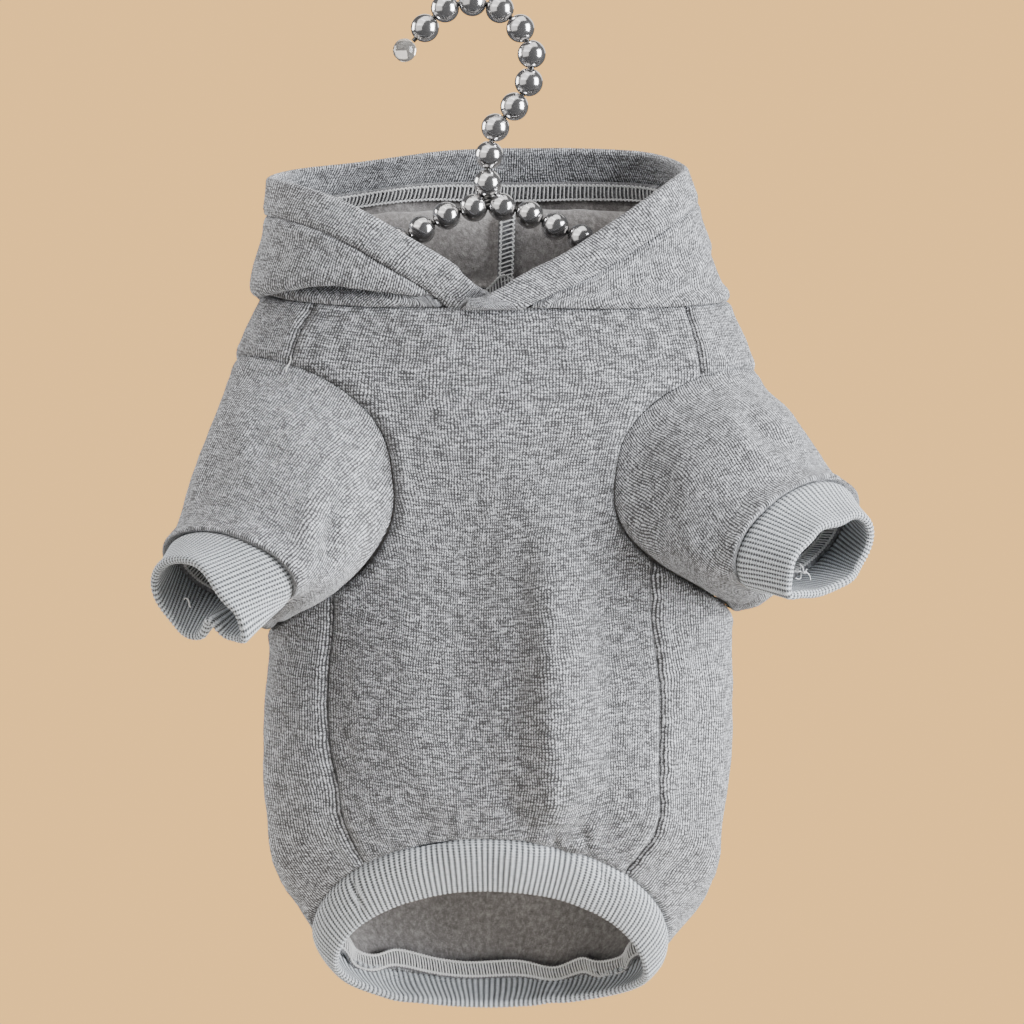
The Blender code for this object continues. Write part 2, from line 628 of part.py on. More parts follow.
def add_hanger(collection):
    pearl = material("pearl grey", 0.22, 0.6)
    _, hook_length = line_through(HOOK_LINE, 600)
    _, arms_length = line_through(ARM_LINE, 600)
    hook = [hook_length - NECK_BEAD - i * BEAD_PITCH for i in range(HOOK_BEADS)]
    arms = [arms_length / 2 + (i - ARM_BEADS + 0.5) * BEAD_PITCH for i in range(2 * ARM_BEADS)]
    add_bead_chain("hanger_hook", HOOK_LINE, hook, pearl, collection)
    add_bead_chain("hanger_arms", ARM_LINE, arms, pearl, collection)
    radius = TIP_BEAD_DIAMETER / 2 * MM
    mesh = bpy.data.meshes.new("hook_tip_bead")
    ball = bmesh.new()
    bmesh.ops.create_uvsphere(ball, u_segments=10, v_segments=6, radius=radius)
    ball.to_mesh(mesh)
    ball.free()
    tip = add_object("hook_tip_bead", mesh, material("clear", 0.05), collection)
    line, _ = line_through(HOOK_LINE, 100)
    centre = line[0] + unit(line[0] - line[1]) * (TIP_BEAD_DIAMETER / 2 + SEAM_GAP)
    tip.location = (centre[0] * MM, 0.0, centre[1] * MM)
    mesh.shade_smooth()


# ---- The garment ----

def add_garment(collection):
    cloth = material("heather grey", 0.95)
    rib = material("rib grey", 0.95)
    holes = {"left": [], "right": []}
    for name, panel in (("front_panel", front_panel), ("back_panel", back_panel)):
        points, faces, edges = panel()
        add_cloth(name, points, faces, FLEECE, cloth, collection)
        for side, shares in edges.items():
            holes[side].extend(shares)
    for side in ("left", "right"):
        shares = np.unique(np.round(holes[side], 3))
        shares = shares[np.concatenate(([True], np.diff(shares) > RING_STEP))]
        grid = sleeve_grid(side, shares)
        faces = grid_faces(*grid.shape[:2], closed=True)
        if side == "left":
            faces = faces[:, ::-1]
        add_cloth(f"{side}_sleeve", grid.reshape(-1, 3), faces, FLEECE, cloth, collection)
        around = np.arange(2 * CUFF_RIBS) / (2 * CUFF_RIBS)
        cuff = cuff_rings(side, around if side == "right" else -around)
        add_doubled_band(f"{side}_cuff", cuff, RIBBING, rib, collection, CUFF_RIBS)
    around = np.arange(2 * HEM_RIBS) * 360 / (2 * HEM_RIBS)
    add_doubled_band("hem_band", hem_rings(around, (0, 0.5, 1)), RIBBING, rib, collection, HEM_RIBS)
    for side in ("left", "right"):
        grid = hood_panel(side)
        faces = grid_faces(*grid.shape[:2])
        add_cloth(f"hood_{side}", grid.reshape(-1, 3), faces, FLEECE, cloth, collection)
    add_doubled_band("hood_facing", facing_grid(), FACING, cloth, collection)


def main():
    for obj in list(bpy.data.objects):
        bpy.data.objects.remove(obj)
    collection = bpy.data.collections.new("pet hoodie on a hanger")
    bpy.context.scene.collection.children.link(collection)
    add_garment(collection)
    add_hanger(collection)


main()
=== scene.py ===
# A small dog's fleece hoodie on a beaded wire hanger: cloth, seams, beads, light and camera
import math
import bpy
import numpy as np
from mathutils import Matrix, Vector, kdtree, noise


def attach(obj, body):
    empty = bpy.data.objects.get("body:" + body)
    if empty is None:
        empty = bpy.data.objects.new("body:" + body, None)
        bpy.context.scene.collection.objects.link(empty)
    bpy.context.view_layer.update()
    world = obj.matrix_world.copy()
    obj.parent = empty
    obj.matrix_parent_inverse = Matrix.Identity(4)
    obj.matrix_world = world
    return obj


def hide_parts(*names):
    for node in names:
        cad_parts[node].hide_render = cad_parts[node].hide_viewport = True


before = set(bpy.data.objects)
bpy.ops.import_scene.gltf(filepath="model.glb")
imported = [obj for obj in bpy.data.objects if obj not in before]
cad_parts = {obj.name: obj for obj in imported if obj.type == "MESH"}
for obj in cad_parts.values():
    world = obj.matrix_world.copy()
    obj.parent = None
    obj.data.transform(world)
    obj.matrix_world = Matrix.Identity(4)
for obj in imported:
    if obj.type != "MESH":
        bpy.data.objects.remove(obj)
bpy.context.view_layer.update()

mm = 0.001  # measures are in millimetres, with X to the viewer's right, Y away and Z up
sides = ("left", "right")
level, upright = np.array((1, 1, 0)), np.array((0, 0, 1))


def smoothRead(places, values, at):  # a smooth curve through a short table
    places, values = np.asarray(places, float), np.asarray(values, float)
    at = np.clip(at, places[0], places[-1])
    slopes = np.gradient(values, places)
    i = np.clip(np.searchsorted(places, at, side="right") - 1, 0, len(places) - 2)
    step = places[i + 1] - places[i]
    t = (at - places[i]) / step
    return (values[i] * (1 + 2 * t) * (1 - t) ** 2 + slopes[i] * step * t * (1 - t) ** 2
            + values[i + 1] * t * t * (3 - 2 * t) - slopes[i + 1] * step * t * t * (1 - t))


def splineWeights(count, places, degree=3):  # how much each control point counts at each place
    knots = np.concatenate((np.zeros(degree), np.linspace(0, 1, count - degree + 1), np.ones(degree)))
    t = np.clip(places, 0, 1 - 1e-9)[:, None]
    basis = ((knots[:-1] <= t) & (t < knots[1:])).astype(float)
    for p in range(1, degree + 1):
        rise, fall = knots[p:-1] - knots[:-p - 1], knots[p + 1:] - knots[1:-p]
        up = np.where(rise > 0, (t - knots[:-p - 1]) / np.where(rise > 0, rise, 1), 0)
        down = np.where(fall > 0, (knots[p + 1:] - t) / np.where(fall > 0, fall, 1), 0)
        basis = up * basis[:, :-1] + down * basis[:, 1:]
    return basis


def unit(vectors):
    return vectors / np.maximum(np.linalg.norm(vectors, axis=-1, keepdims=True), 1e-9)


def closer(count, share=0.6):  # places from 0 to 1, closer together towards both ends
    even = np.linspace(0, 1, count)
    return (1 - share) * even + share * (0.5 - 0.5 * np.cos(np.pi * even))


def lengthsAlong(points, axis):  # measured along the cloth or line, from its start
    steps = np.linalg.norm(np.diff(points, axis=axis), axis=-1)
    start = np.zeros_like(np.take(steps, [0], axis))
    return np.concatenate((start, np.cumsum(steps, axis)), axis)


def readAlong(curve, measure, at):  # the curve's points where its measure has these values
    return np.stack([np.interp(at, measure, axis) for axis in curve.T], -1)


def wrapped(points, closed):  # a tube's first column again after its last
    return np.concatenate((points, points[:, :1]), 1) if closed else points


body = {
    "neck": {"front": -102.0, "left": -95.0, "right": -98.0, "back": -93.0},
    "hem": {"front": -285.0, "left": -318.0, "right": -322.0, "back": -338.0},
    "sections": {  # half widths and depths from the neck seam, 0, to the hem seam, 1
        "drop": (0.00, 0.05, 0.14, 0.26, 0.40, 0.55, 0.70, 0.82, 0.92, 1.00),
        "left": (77.0, 83.5, 89.0, 85.0, 78.0, 76.0, 77.5, 76.5, 73.5, 60.5),
        "right": (83.0, 88.0, 94.0, 90.0, 85.5, 84.5, 84.5, 81.5, 78.5, 62.5),
        "front": (22.0, 23.5, 26.0, 29.0, 32.0, 34.5, 36.0, 35.5, 33.0, 27.0),
        "back": (23.0, 24.0, 25.5, 26.5, 28.0, 30.0, 31.0, 31.5, 31.0, 28.0),
    },
    "seams": {  # angle of the seams that join front and back
        "drop": (0.00, 0.11, 0.32, 0.53, 0.64, 0.79, 0.88, 1.00),
        "left": (-50.0, -51.0, -48.0, -45.0, -46.5, -46.0, -43.5, -44.5),
        "right": (55.0, 52.5, 46.0, 41.5, 44.0, 46.5, 47.5, 49.0),
    },
    "folds": (  # top angle, low angle, start, end, rise, width in degrees
        (-45.0, -44.0, 0.50, 1.00, -2.6, 6.0),
        (41.0, 48.0, 0.52, 0.96, -1.6, 6.0),
        (20.0, 14.0, 0.30, 0.99, 2.6, 11.0),
        (-6.0, -2.0, 0.24, 0.92, -1.6, 13.0),
        (150.0, 160.0, 0.12, 0.80, 2.4, 15.0),
        (206.0, 200.0, 0.16, 0.94, 2.2, 15.0),
        (25.0, 22.0, 0.86, 1.06, -2.2, 5.0),
        (-20.0, -18.0, 0.88, 1.06, -1.4, 6.0),
        (96.0, 92.0, 0.82, 1.06, -1.8, 9.0),
        (-104.0, -98.0, 0.84, 1.06, -1.8, 9.0),
        (137.0, 134.0, 0.86, 1.06, -1.8, 8.0),
        (226.0, 228.0, 0.86, 1.06, -1.8, 8.0),
    ),
    "armholes": {
        "left": {"angle": -72.0, "drop": 0.315, "front": 49.0, "back": -46.0,
                 "up": 0.215, "down": 0.222, "squareness": 2.5},
        "right": {"angle": 77.0, "drop": 0.320, "front": -47.5, "back": 45.0,
                  "up": 0.210, "down": 0.170, "squareness": 2.6},
    },
    "columns": {"front": 116, "back": 190}, "rows": 150, "rimPlaces": 2000,
    "thickness": 1.5, "wobble": 0.65, "seed": 3.0, "seamDepth": 1.5, "seamReach": 1.15, "puff": 0.4,
    "creases": (
        ("front", 22.0, -162.0, 23.0, -292.0, 6.6, 17.0, 1.5, 1.2),  # the belly's ridge, then its hollows
        ("front", -8.0, -172.0, -2.0, -290.0, -2.6, 15.0, 2.0),
        ("front", -39.0, -180.0, -35.0, -290.0, -2.6, 19.0, 0.0),
        ("front", 12.0, -184.0, 13.5, -290.0, -3.2, 6.0, 0.5),
        ("front", 37.5, -184.0, 41.0, -286.0, -3.2, 6.0, -1.0),
        ("front", 0.0, -254.0, 12.5, -281.0, -2.2, 4.2, 1.0),
        ("front", 48.0, -206.0, 51.0, -262.0, -0.9, 6.0, 0.0),
        ("front", -30.0, -214.0, -22.0, -282.0, 0.7, 12.0, 0.0),
        ("front", 21.5, -277.0, 23.5, -289.0, -1.7, 1.8, 0.0),  # gathers over the hem band
        ("front", 32.0, -279.0, 35.0, -291.0, -1.5, 1.8, 0.0),
        ("front", 47.0, -290.0, 50.0, -299.0, -0.9, 1.7, 0.0),
        ("front", -14.0, -279.0, -13.0, -287.0, -0.5, 1.8, 0.0),
        ("front", -33.0, -106.0, -20.0, -150.0, -0.7, 9.0, 4.0),
        ("front", 44.0, -112.0, 30.0, -160.0, 0.7, 10.0, -3.0),
        ("front", -70.0, -222.0, -74.0, -300.0, 0.9, 6.0, 1.0),
        ("front", 74.0, -214.0, 70.0, -300.0, -1.0, 5.0, 2.0),
        ("back", -44.0, -130.0, -30.0, -240.0, -2.8, 9.0, 6.0),
        ("back", 20.0, -120.0, 4.0, -230.0, -2.6, 8.0, -5.0),
        ("back", 46.0, -196.0, 34.0, -322.0, 5.0, 10.0, 4.0, 1.2),
        ("back", -10.0, -206.0, -18.0, -328.0, 4.8, 10.0, 3.0, 1.1),
        ("back", -58.0, -230.0, -46.0, -320.0, 3.2, 7.5, -2.0),
        ("back", 62.0, -140.0, 40.0, -186.0, -2.2, 6.0, -4.0),
        ("back", -66.0, -150.0, -40.0, -196.0, -2.2, 6.0, 4.0),
        ("back", 12.0, -262.0, 20.0, -322.0, -2.2, 6.0, 2.0),
        ("back", 8.0, -318.0, 9.0, -335.0, -1.0, 2.2, 0.0),
        ("back", -27.0, -316.0, -26.0, -333.0, -0.9, 2.2, 0.0),
        ("back", 36.0, -312.0, 35.0, -330.0, -0.9, 2.4, 0.0),
        ("left", 6.0, -226.0, 2.0, -314.0, -1.9, 5.5, 2.0),
        ("left", -10.0, -236.0, -8.0, -308.0, 1.5, 7.0, -1.0, 1.2),
        ("right", 8.0, -222.0, 0.0, -312.0, -2.0, 6.0, -2.0),
        ("right", -12.0, -226.0, -8.0, -302.0, 1.6, 7.0, 1.0, 1.2),
        ("right", 18.0, -250.0, 14.0, -306.0, 1.2, 5.0, 1.0),
    ),
}


def seamHeight(levels, angle):  # how high the neck or hem seam lies all round
    face, side = np.cos(np.radians(angle)), np.sin(np.radians(angle))
    edge = np.where(side < 0, levels["left"], levels["right"])
    ahead, behind = np.maximum(face, 0), np.maximum(-face, 0)
    return edge + (levels["front"] - edge) * ahead + (levels["back"] - edge) * behind


def foldRise(angle, drop):  # how far the long folds stand out
    rise = np.zeros(np.broadcast(angle, drop).shape)
    for topAngle, lowAngle, start, end, height, width in body["folds"]:
        along = np.clip((drop - start) / (end - start), 0, 1)
        away = (angle - topAngle - (lowAngle - topAngle) * along + 180) % 360 - 180
        rise += height * np.sin(np.pi * along) ** 0.8 * np.exp(-(away / width) ** 2)
    return rise


def bodyPoint(angle, drop):  # angle 0 is the front and 90 the right side, drop 0 the neck and 1 the hem
    angle, drop = np.broadcast_arrays(np.asarray(angle, float), np.asarray(drop, float))
    side, face = np.sin(np.radians(angle)), np.cos(np.radians(angle))
    table = body["sections"]
    size = {name: smoothRead(table["drop"], table[name], drop) for name in ("left", "right", "front", "back")}
    wide = np.where(side < 0, size["left"], size["right"])
    deep = np.where(face > 0, size["front"], size["back"])
    out = unit(np.stack((side / wide, -face / deep), -1)) * foldRise(angle, drop)[..., None]
    z = seamHeight(body["neck"], angle) * (1 - drop) + seamHeight(body["hem"], angle) * drop
    return np.stack((wide * side + out[..., 0], -deep * face + out[..., 1], z), -1)


def seamAngle(side, drop):  # where front and back are joined
    return smoothRead(body["seams"]["drop"], body["seams"][side], drop)


def armholeEdge(side, shares):  # from the shoulder over the front to the underarm
    hole = body["armholes"][side]
    turn = 2 * np.pi * np.asarray(shares)
    power = 2 / hole["squareness"]
    ahead, up = np.sin(turn), np.cos(turn)
    across = np.sign(ahead) * np.abs(ahead) ** power
    rise = np.sign(up) * np.abs(up) ** power
    reach = np.where(ahead > 0, hole["front"], -hole["back"])
    return hole["angle"] + across * reach, hole["drop"] - rise * np.where(up > 0, hole["up"], hole["down"])


def insideArmhole(side, angle, drop):
    hole = body["armholes"][side]
    away = (angle - hole["angle"] + 180) % 360 - 180
    reach = np.where(away * np.sign(hole["front"]) > 0, hole["front"], hole["back"])
    lift = np.where(drop < hole["drop"], hole["up"], hole["down"])
    power = hole["squareness"]
    return np.abs(away / reach) ** power + np.abs((drop - hole["drop"]) / lift) ** power < 1


def clothNormals(points, closed):  # rows run down, and columns to the right as seen from outside
    if closed:
        across = np.roll(points, -1, 1) - np.roll(points, 1, 1)
    else:
        across = np.gradient(points, axis=1)
    return unit(np.cross(np.gradient(points, axis=0), across))


def rightWayRound(points, closed):  # columns turned about where the outside would face in
    normals = clothNormals(points, closed)
    middle = points.mean(1, keepdims=True) if closed else upright * points
    turnedIn = (normals * (points - middle)).sum() < 0
    return points[:, ::-1] if turnedIn else points


def flatPlaces(points):  # metres across from the middle column, and metres down from the first row
    across, down = lengthsAlong(points, 1), lengthsAlong(points, 0)
    across = across - across[:, across.shape[1] // 2][:, None]
    return np.stack((across, -down), -1) * mm


def gatheredPlaces(points):  # the same, with columns kept straight where the cloth is eased in
    flat = flatPlaces(points)
    flat[..., 0] = flat[..., 0].mean(0)
    return flat


def grainPlaces(points, grain):  # metres across and along the grain of a tube, taken over its surface
    normals = clothNormals(points, False)
    across = unit(np.cross(unit(np.array(grain)), normals))
    middle = points.shape[1] // 2
    places = []
    for way in (across, np.cross(normals, across)):
        sideways = np.cumsum((np.diff(points, axis=1) * (way[:, 1:] + way[:, :-1])).sum(-1) / 2, 1)
        sideways = np.pad(sideways, ((0, 0), (1, 0)))
        steps = np.diff(points[:, middle], axis=0) * (way[1:, middle] + way[:-1, middle])
        down = np.pad(np.cumsum(steps.sum(-1) / 2), (1, 0))
        places.append(sideways - sideways[:, [middle]] + down[:, None])
    return np.stack(places, -1) * mm


def clothArea(points, kept=None):  # in square metres
    a, b = points[1:, 1:] - points[:-1, :-1], points[1:, :-1] - points[:-1, 1:]
    cells = np.linalg.norm(np.cross(a, b), axis=-1) / 2
    return float((cells if kept is None else cells * kept).sum()) * mm * mm


def creaseRise(points, normals, creases):  # creases are straight or bowed lines as seen from one side
    # A row: seen from, level, z, level, z, rise, width, bow, and perhaps the crest, 1 sharp and 2 round
    levelAxis = {"front": 0, "back": 0, "left": 1, "right": 1}
    rise = np.zeros(points.shape[:-1])
    for seen, level0, z0, level1, z1, height, width, bow, *crest in creases:
        axis = levelAxis[seen]
        facing = normals[..., 1 - axis] * (-1 if seen in ("front", "left") else 1)
        t = np.linspace(0, 1, 25)
        start, end = np.array((level0, z0)), np.array((level1, z1))
        aside = unit(np.array((z1 - z0, level0 - level1)))
        line = start + (end - start) * t[:, None] + aside * bow * np.sin(np.pi * t)[:, None]
        away = np.linalg.norm(points[..., None, [axis, 2]] - line, axis=-1)
        taper = np.sin(np.pi * (0.04 + 0.92 * t[away.argmin(-1)])) ** 0.8
        profile = np.exp(-(away.min(-1) / width) ** (crest[0] if crest else 2))
        rise += height * taper * profile * np.clip(facing * 2.0, 0, 1)
    return rise


def seamTree(curves):  # finds the nearest place on any of the seams
    dense = []
    for curve in curves:
        count = len(curve)
        dense.append(readAlong(np.asarray(curve), np.arange(count), np.linspace(0, count - 1, 4 * count)))
    dense = np.concatenate(dense)
    tree = kdtree.KDTree(len(dense))
    for i, point in enumerate(dense):
        tree.insert(point, i)
    tree.balance()
    return tree


def seamRise(points, curves, depth, reach, puff):  # cloth sinks into a seam and stands up beside it
    tree = seamTree(curves)
    away = np.array([tree.find(point)[2] for point in points.reshape(-1, 3)]).reshape(points.shape[:-1])
    return -depth * np.exp(-(away / reach) ** 2) + puff * np.exp(-((away - 3.0 * reach) / (1.6 * reach)) ** 2)


def wobble(points, height, size, seed):  # soft waves of about this size
    flat = [noise.noise(Vector(point) / size + Vector((seed, 0, 0))) for point in points.reshape(-1, 3)]
    return np.array(flat).reshape(points.shape[:-1]) * height


def meshFromGrid(name, points, flat, closedAcross=False, closedDown=False, holes=None, marks=None):
    # A grid primitive takes its places from the points. Its rows run up, so the outside faces out
    points = wrapped(points, closedAcross)
    if closedDown:
        points = np.concatenate((points, points[:1]))
    if marks is not None:  # how high a rib stands at each place, which the finish reads to paint shade between the ribs
        marks = np.pad(marks, ((0, int(closedDown)), (0, int(closedAcross))), mode="wrap")[::-1]
    points, flat = points[::-1], flat[::-1]
    rows, cols = points.shape[:2]
    bpy.ops.object.select_all(action="DESELECT")
    bpy.ops.mesh.primitive_grid_add(x_subdivisions=cols - 1, y_subdivisions=rows - 1, size=1)
    piece = bpy.context.object
    piece.name = piece.data.name = name
    mesh = piece.data
    mesh.vertices.foreach_set("co", (points * mm).ravel())
    corner = np.empty(len(mesh.loops), int)
    mesh.loops.foreach_get("vertex_index", corner)
    while mesh.uv_layers:
        mesh.uv_layers.remove(mesh.uv_layers[0])
    mesh.uv_layers.new(name="flat").data.foreach_set("uv", flat.reshape(-1, 2)[corner].ravel())
    if marks is not None:
        mesh.attributes.new("rib", "FLOAT", "POINT").data.foreach_set("value", marks.ravel())
    bpy.ops.object.mode_set(mode="EDIT")
    bpy.ops.mesh.select_all(action="DESELECT")
    bpy.ops.object.mode_set(mode="OBJECT")
    if holes is not None:
        mesh.polygons.foreach_set("select", holes[::-1].ravel())
        bpy.ops.object.mode_set(mode="EDIT")
        bpy.ops.mesh.select_mode(type="FACE")
        bpy.ops.mesh.delete(type="FACE")
        bpy.ops.object.mode_set(mode="OBJECT")
    if closedAcross or closedDown:
        bpy.ops.object.mode_set(mode="EDIT")
        bpy.ops.mesh.select_all(action="SELECT")
        bpy.ops.mesh.remove_doubles(threshold=1e-6)
        bpy.ops.object.mode_set(mode="OBJECT")
    bpy.ops.object.shade_smooth()
    return piece


def applied(piece, kind, **settings):  # a modifier, added and applied
    bpy.ops.object.select_all(action="DESELECT")
    piece.select_set(True)
    bpy.context.view_layer.objects.active = piece
    modifier = piece.modifiers.new(kind.lower(), kind)
    for name, value in settings.items():
        setattr(modifier, name, value)
    bpy.ops.object.modifier_apply(modifier=modifier.name)
    return piece


def dressPiece(piece, layers, node=None):
    for layer in layers:
        piece.data.materials.append(layer)
    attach(piece, "root")
    if node:
        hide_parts(node)
    return piece


def sheetSize(flat, closed):  # the longest row and column, with a little ease on a tube
    width = float((flat[..., 0].max(1) - flat[..., 0].min(1)).max())
    return width * (1.02 if closed else 1.0), float(flat[..., 1].max() - flat[..., 1].min())


waiting, trimmings = {}, {}  # each sheet's cut, and the strip and threads sewn to it


def noteSheet(name, size, area, held, heldBy):
    waiting[name] = {"flat": size, "held": held, "rests_on": heldBy, "area": min(area, size[0] * size[1])}
    print(f"{name}: {size[0] * 1000:.0f} x {size[1] * 1000:.0f} mm, {area * 1e4:.0f} cm2, {held}")


slack = ((1.0, 17.0, 0), (0.35, 5.0, 9))  # waves and a finer unevenness: share of the wobble, size, seed


def addCloth(name, points, closed, options, curves, node, heldBy, holes=None, finish="knit", grain=None):
    # One layer: seams and creases are worked into the points, then Solidify gives the cloth its thickness
    whole = wrapped(points, closed)
    normals = clothNormals(points, closed)
    rise = creaseRise(points, normals, options["creases"])
    for share, size, later in slack:
        rise += wobble(points, options["wobble"] * share, size, options["seed"] + later)
    rise += seamRise(points, curves, options["seamDepth"], options["seamReach"], options["puff"])
    flat = flatPlaces(whole)
    lie = flat
    if grain == "gathered":
        lie = gatheredPlaces(whole)
    elif grain:
        lie = grainPlaces(whole, grain)
    piece = meshFromGrid(name, points + normals * rise[..., None], lie, closedAcross=closed, holes=holes)
    dressPiece(piece, (finishes[finish], finishes["fleece"]), node)
    applied(piece, "SOLIDIFY", thickness=options["thickness"] * mm, offset=0.0, use_rim=True,
            material_offset=1)
    area = clothArea(whole, None if holes is None else ~holes)
    noteSheet(name, sheetSize(flat, closed), area, "hung", heldBy)


class Reading:  # a shader value that sums can be written with
    def __init__(self, tree, socket):
        self.tree = tree
        self.socket = socket

    def calc(self, operation, other=None, swapped=False):
        node = self.tree.nodes.new("ShaderNodeMath")
        node.operation = operation
        for slot, value in zip(node.inputs, (other, self) if swapped else (self, other)):
            if isinstance(value, Reading):
                self.tree.links.new(value.socket, slot)
            elif value is not None:
                slot.default_value = value
        return Reading(self.tree, node.outputs[0])

    def __add__(self, other):
        return self.calc("ADD", other)

    def __radd__(self, other):
        return self.calc("ADD", other, True)

    def __sub__(self, other):
        return self.calc("SUBTRACT", other)

    def __rsub__(self, other):
        return self.calc("SUBTRACT", other, True)

    def __mul__(self, other):
        return self.calc("MULTIPLY", other)

    def __rmul__(self, other):
        return self.calc("MULTIPLY", other, True)

    def __truediv__(self, other):
        return self.calc("DIVIDE", other)

    def __rtruediv__(self, other):
        return self.calc("DIVIDE", other, True)

    def __pow__(self, other):
        return self.calc("POWER", other)


class Nodes:
    def __init__(self, tree):
        self.tree = tree

    def feed(self, node, inputs):
        for name, value in inputs.items():
            socket = node.inputs[name]
            if isinstance(value, Reading):
                self.tree.links.new(value.socket, socket)
            else:
                socket.default_value = (*value, 1.0) if socket.type == "RGBA" else value

    def node(self, kind, settings=None, inputs=None, output=0):
        made = self.tree.nodes.new(kind)
        for name, value in (settings or {}).items():
            if name == "stops":
                ramp = made.color_ramp
                while len(ramp.elements) < len(value):
                    ramp.elements.new(1.0)
                for element, (place, colour) in zip(ramp.elements, value):
                    element.position, element.color = place, (*colour, 1.0)
            else:
                setattr(made, name, value)
        self.feed(made, inputs or {})
        return Reading(self.tree, made.outputs[output])


class Finish(Nodes):
    def __init__(self, name, fixed):
        self.material = bpy.data.materials.new(name)
        self.material.use_nodes = True
        super().__init__(self.material.node_tree)
        self.shader = self.tree.nodes["Principled BSDF"]
        self.feed(self.shader, fixed)

    def noise(self, vector, scale, detail=2.0, roughness=0.5):
        return self.node("ShaderNodeTexNoise", {}, {"Vector": vector, "Scale": scale, "Detail": detail,
                                                    "Roughness": roughness})

    def speckle(self, place, x, y, detail=2.0, roughness=0.5):  # noise drawn out across or along the wales
        stretched = self.node("ShaderNodeMapping", {}, {"Vector": place, "Scale": (x, y, 1.0)})
        return self.noise(stretched, 1.0, detail, roughness)

    def ramp(self, share, places, colours):
        return self.node("ShaderNodeValToRGB", {"stops": tuple(zip(places, colours))}, {"Fac": share})

    def mixColour(self, share, first, second):
        return self.node("ShaderNodeMix", {"data_type": "RGBA"}, {0: share, 6: first, 7: second}, 2)

    def onCloth(self):  # across the wales and along them, in millimetres
        flat = self.node("ShaderNodeUVMap", {"uv_map": "flat"})
        return self.node("ShaderNodeVectorMath", {"operation": "SCALE"}, {"Vector": flat, "Scale": 1 / mm})

    def inSpace(self):
        return self.node("ShaderNodeTexCoord", output=3)

    def split(self, vector):
        return [self.node("ShaderNodeSeparateXYZ", {}, {0: vector}, axis) for axis in range(2)]

    def relief(self, height, strength, distance):
        return self.node("ShaderNodeBump", {}, {"Height": height, "Strength": strength,
                                                "Distance": distance * mm})


tones = {  # from dark to light
    "knit": ((0.055, 0.055, 0.058), (0.13, 0.13, 0.136), (0.24, 0.24, 0.253), (0.43, 0.437, 0.465),
             (0.78, 0.80, 0.85)),
    "fleece": ((0.105, 0.098, 0.095), (0.262, 0.246, 0.241), (0.52, 0.50, 0.49)),
    "rib": ((0.25, 0.27, 0.30), (0.69, 0.735, 0.80), (0.95, 0.98, 1.0)),
    # painted shade: the near black that the rib knit's furrows are mixed towards
    "ribGrooveShade": (0.03, 0.031, 0.034),
    "edge": ((0.11, 0.11, 0.115), (0.20, 0.20, 0.21), (0.34, 0.345, 0.36)),
    "thread": ((0.62, 0.62, 0.63), (0.93, 0.93, 0.93)),
    "pearl": ((0.50, 0.49, 0.49), (0.56, 0.55, 0.55), (0.62, 0.61, 0.61)),
    "clear": ((0.97, 0.90, 0.80), (1.0, 0.98, 0.95)),
    "wire": ((0.06, 0.058, 0.056), (0.2, 0.195, 0.19)),
    "floor": ((0.70, 0.66, 0.60), (0.76, 0.72, 0.66)),
}


def stitches(u, v, wale, course, wales, loops):  # knit columns made of little Vs, from 0 to 1
    side = ((u / wale).calc("FRACT") - 0.5).calc("ABSOLUTE")  # wales and loops say how deep the two part
    loop = ((v / course + side * 1.6).calc("FRACT") - 0.5).calc("ABSOLUTE") * 2.0
    return (1.0 - loop * loops) * (1.0 - (side * 2.0) ** 1.6 * wales)


knitLook = {
    "wale": 0.90, "course": 0.90, "waver": 2.2, "contrast": 1.05, "relief": 0.9, "depth": 0.5,
    "plain": {"wales": 0.95, "loops": 0.45, "streakLength": 2.6, "streakShare": 0.7, "lift": -0.11},
    # painted shade: the front panel's knit is set a little darker than the plain knit, for the belly facing
    # down and away from the light; its longer streaks and fuller loops are its own look
    "belly": {"wales": 0.80, "loops": 0.60, "streakLength": 4.2, "streakShare": 1.0, "lift": -0.13},
}


def heatherKnit(name, wales, loops, streakLength, streakShare, lift):
    finish = Finish(name, {"Roughness": 0.92, "Sheen Weight": 0.25, "Sheen Roughness": 0.6,
                           "Specular IOR Level": 0.2})
    place = finish.onCloth()
    u, v = finish.split(place)
    waver = finish.speckle(place, 0.14, 0.10) - 0.5
    drift = finish.speckle(place, 0.09, 0.17) - 0.5
    knitted = stitches(u + waver * knitLook["waver"], v + drift * knitLook["waver"], knitLook["wale"],
                       knitLook["course"], wales, loops)
    streaks = finish.speckle(place, 1.0 / streakLength, 1.1, 1.0)  # longer across the wales
    flecks = finish.speckle(place, 1.3, 1.3, 0.0)
    clouds = finish.speckle(place, 0.22, 0.30, 2.0, 0.6)
    tone = (streaks - 0.5) * streakShare + (flecks - 0.5) * 0.95 + (clouds - 0.5) * 0.7
    tone = tone + knitted * knitLook["contrast"] + lift
    pills = finish.speckle(place, 0.55, 0.7)
    height = knitted * 0.8 + flecks * 0.5 + pills * 0.8
    colour = finish.ramp(tone, (0.16, 0.34, 0.48, 0.62, 0.86), tones["knit"])
    finish.feed(finish.shader, {"Base Color": colour,
                                "Normal": finish.relief(height, knitLook["relief"], knitLook["depth"])})
    return finish.material


def brushedFleece():  # the cloth's dark, brushed inside
    finish = Finish("brushed fleece", {"Roughness": 1.0, "Sheen Weight": 0.35, "Sheen Roughness": 0.7,
                                       "Specular IOR Level": 0.1})
    place = finish.onCloth()
    tufts = finish.speckle(place, 0.55, 0.45, 4.0, 0.7)
    flecks = finish.speckle(place, 2.0, 2.0, 3.0, 0.8)
    colour = finish.ramp(tufts * 0.6 + flecks * 0.4, (0.32, 0.50, 0.68), tones["fleece"])
    finish.feed(finish.shader, {"Base Color": colour,
                                "Normal": finish.relief(tufts * 1.2 + flecks * 0.5, 0.8, 0.5)})
    return finish.material


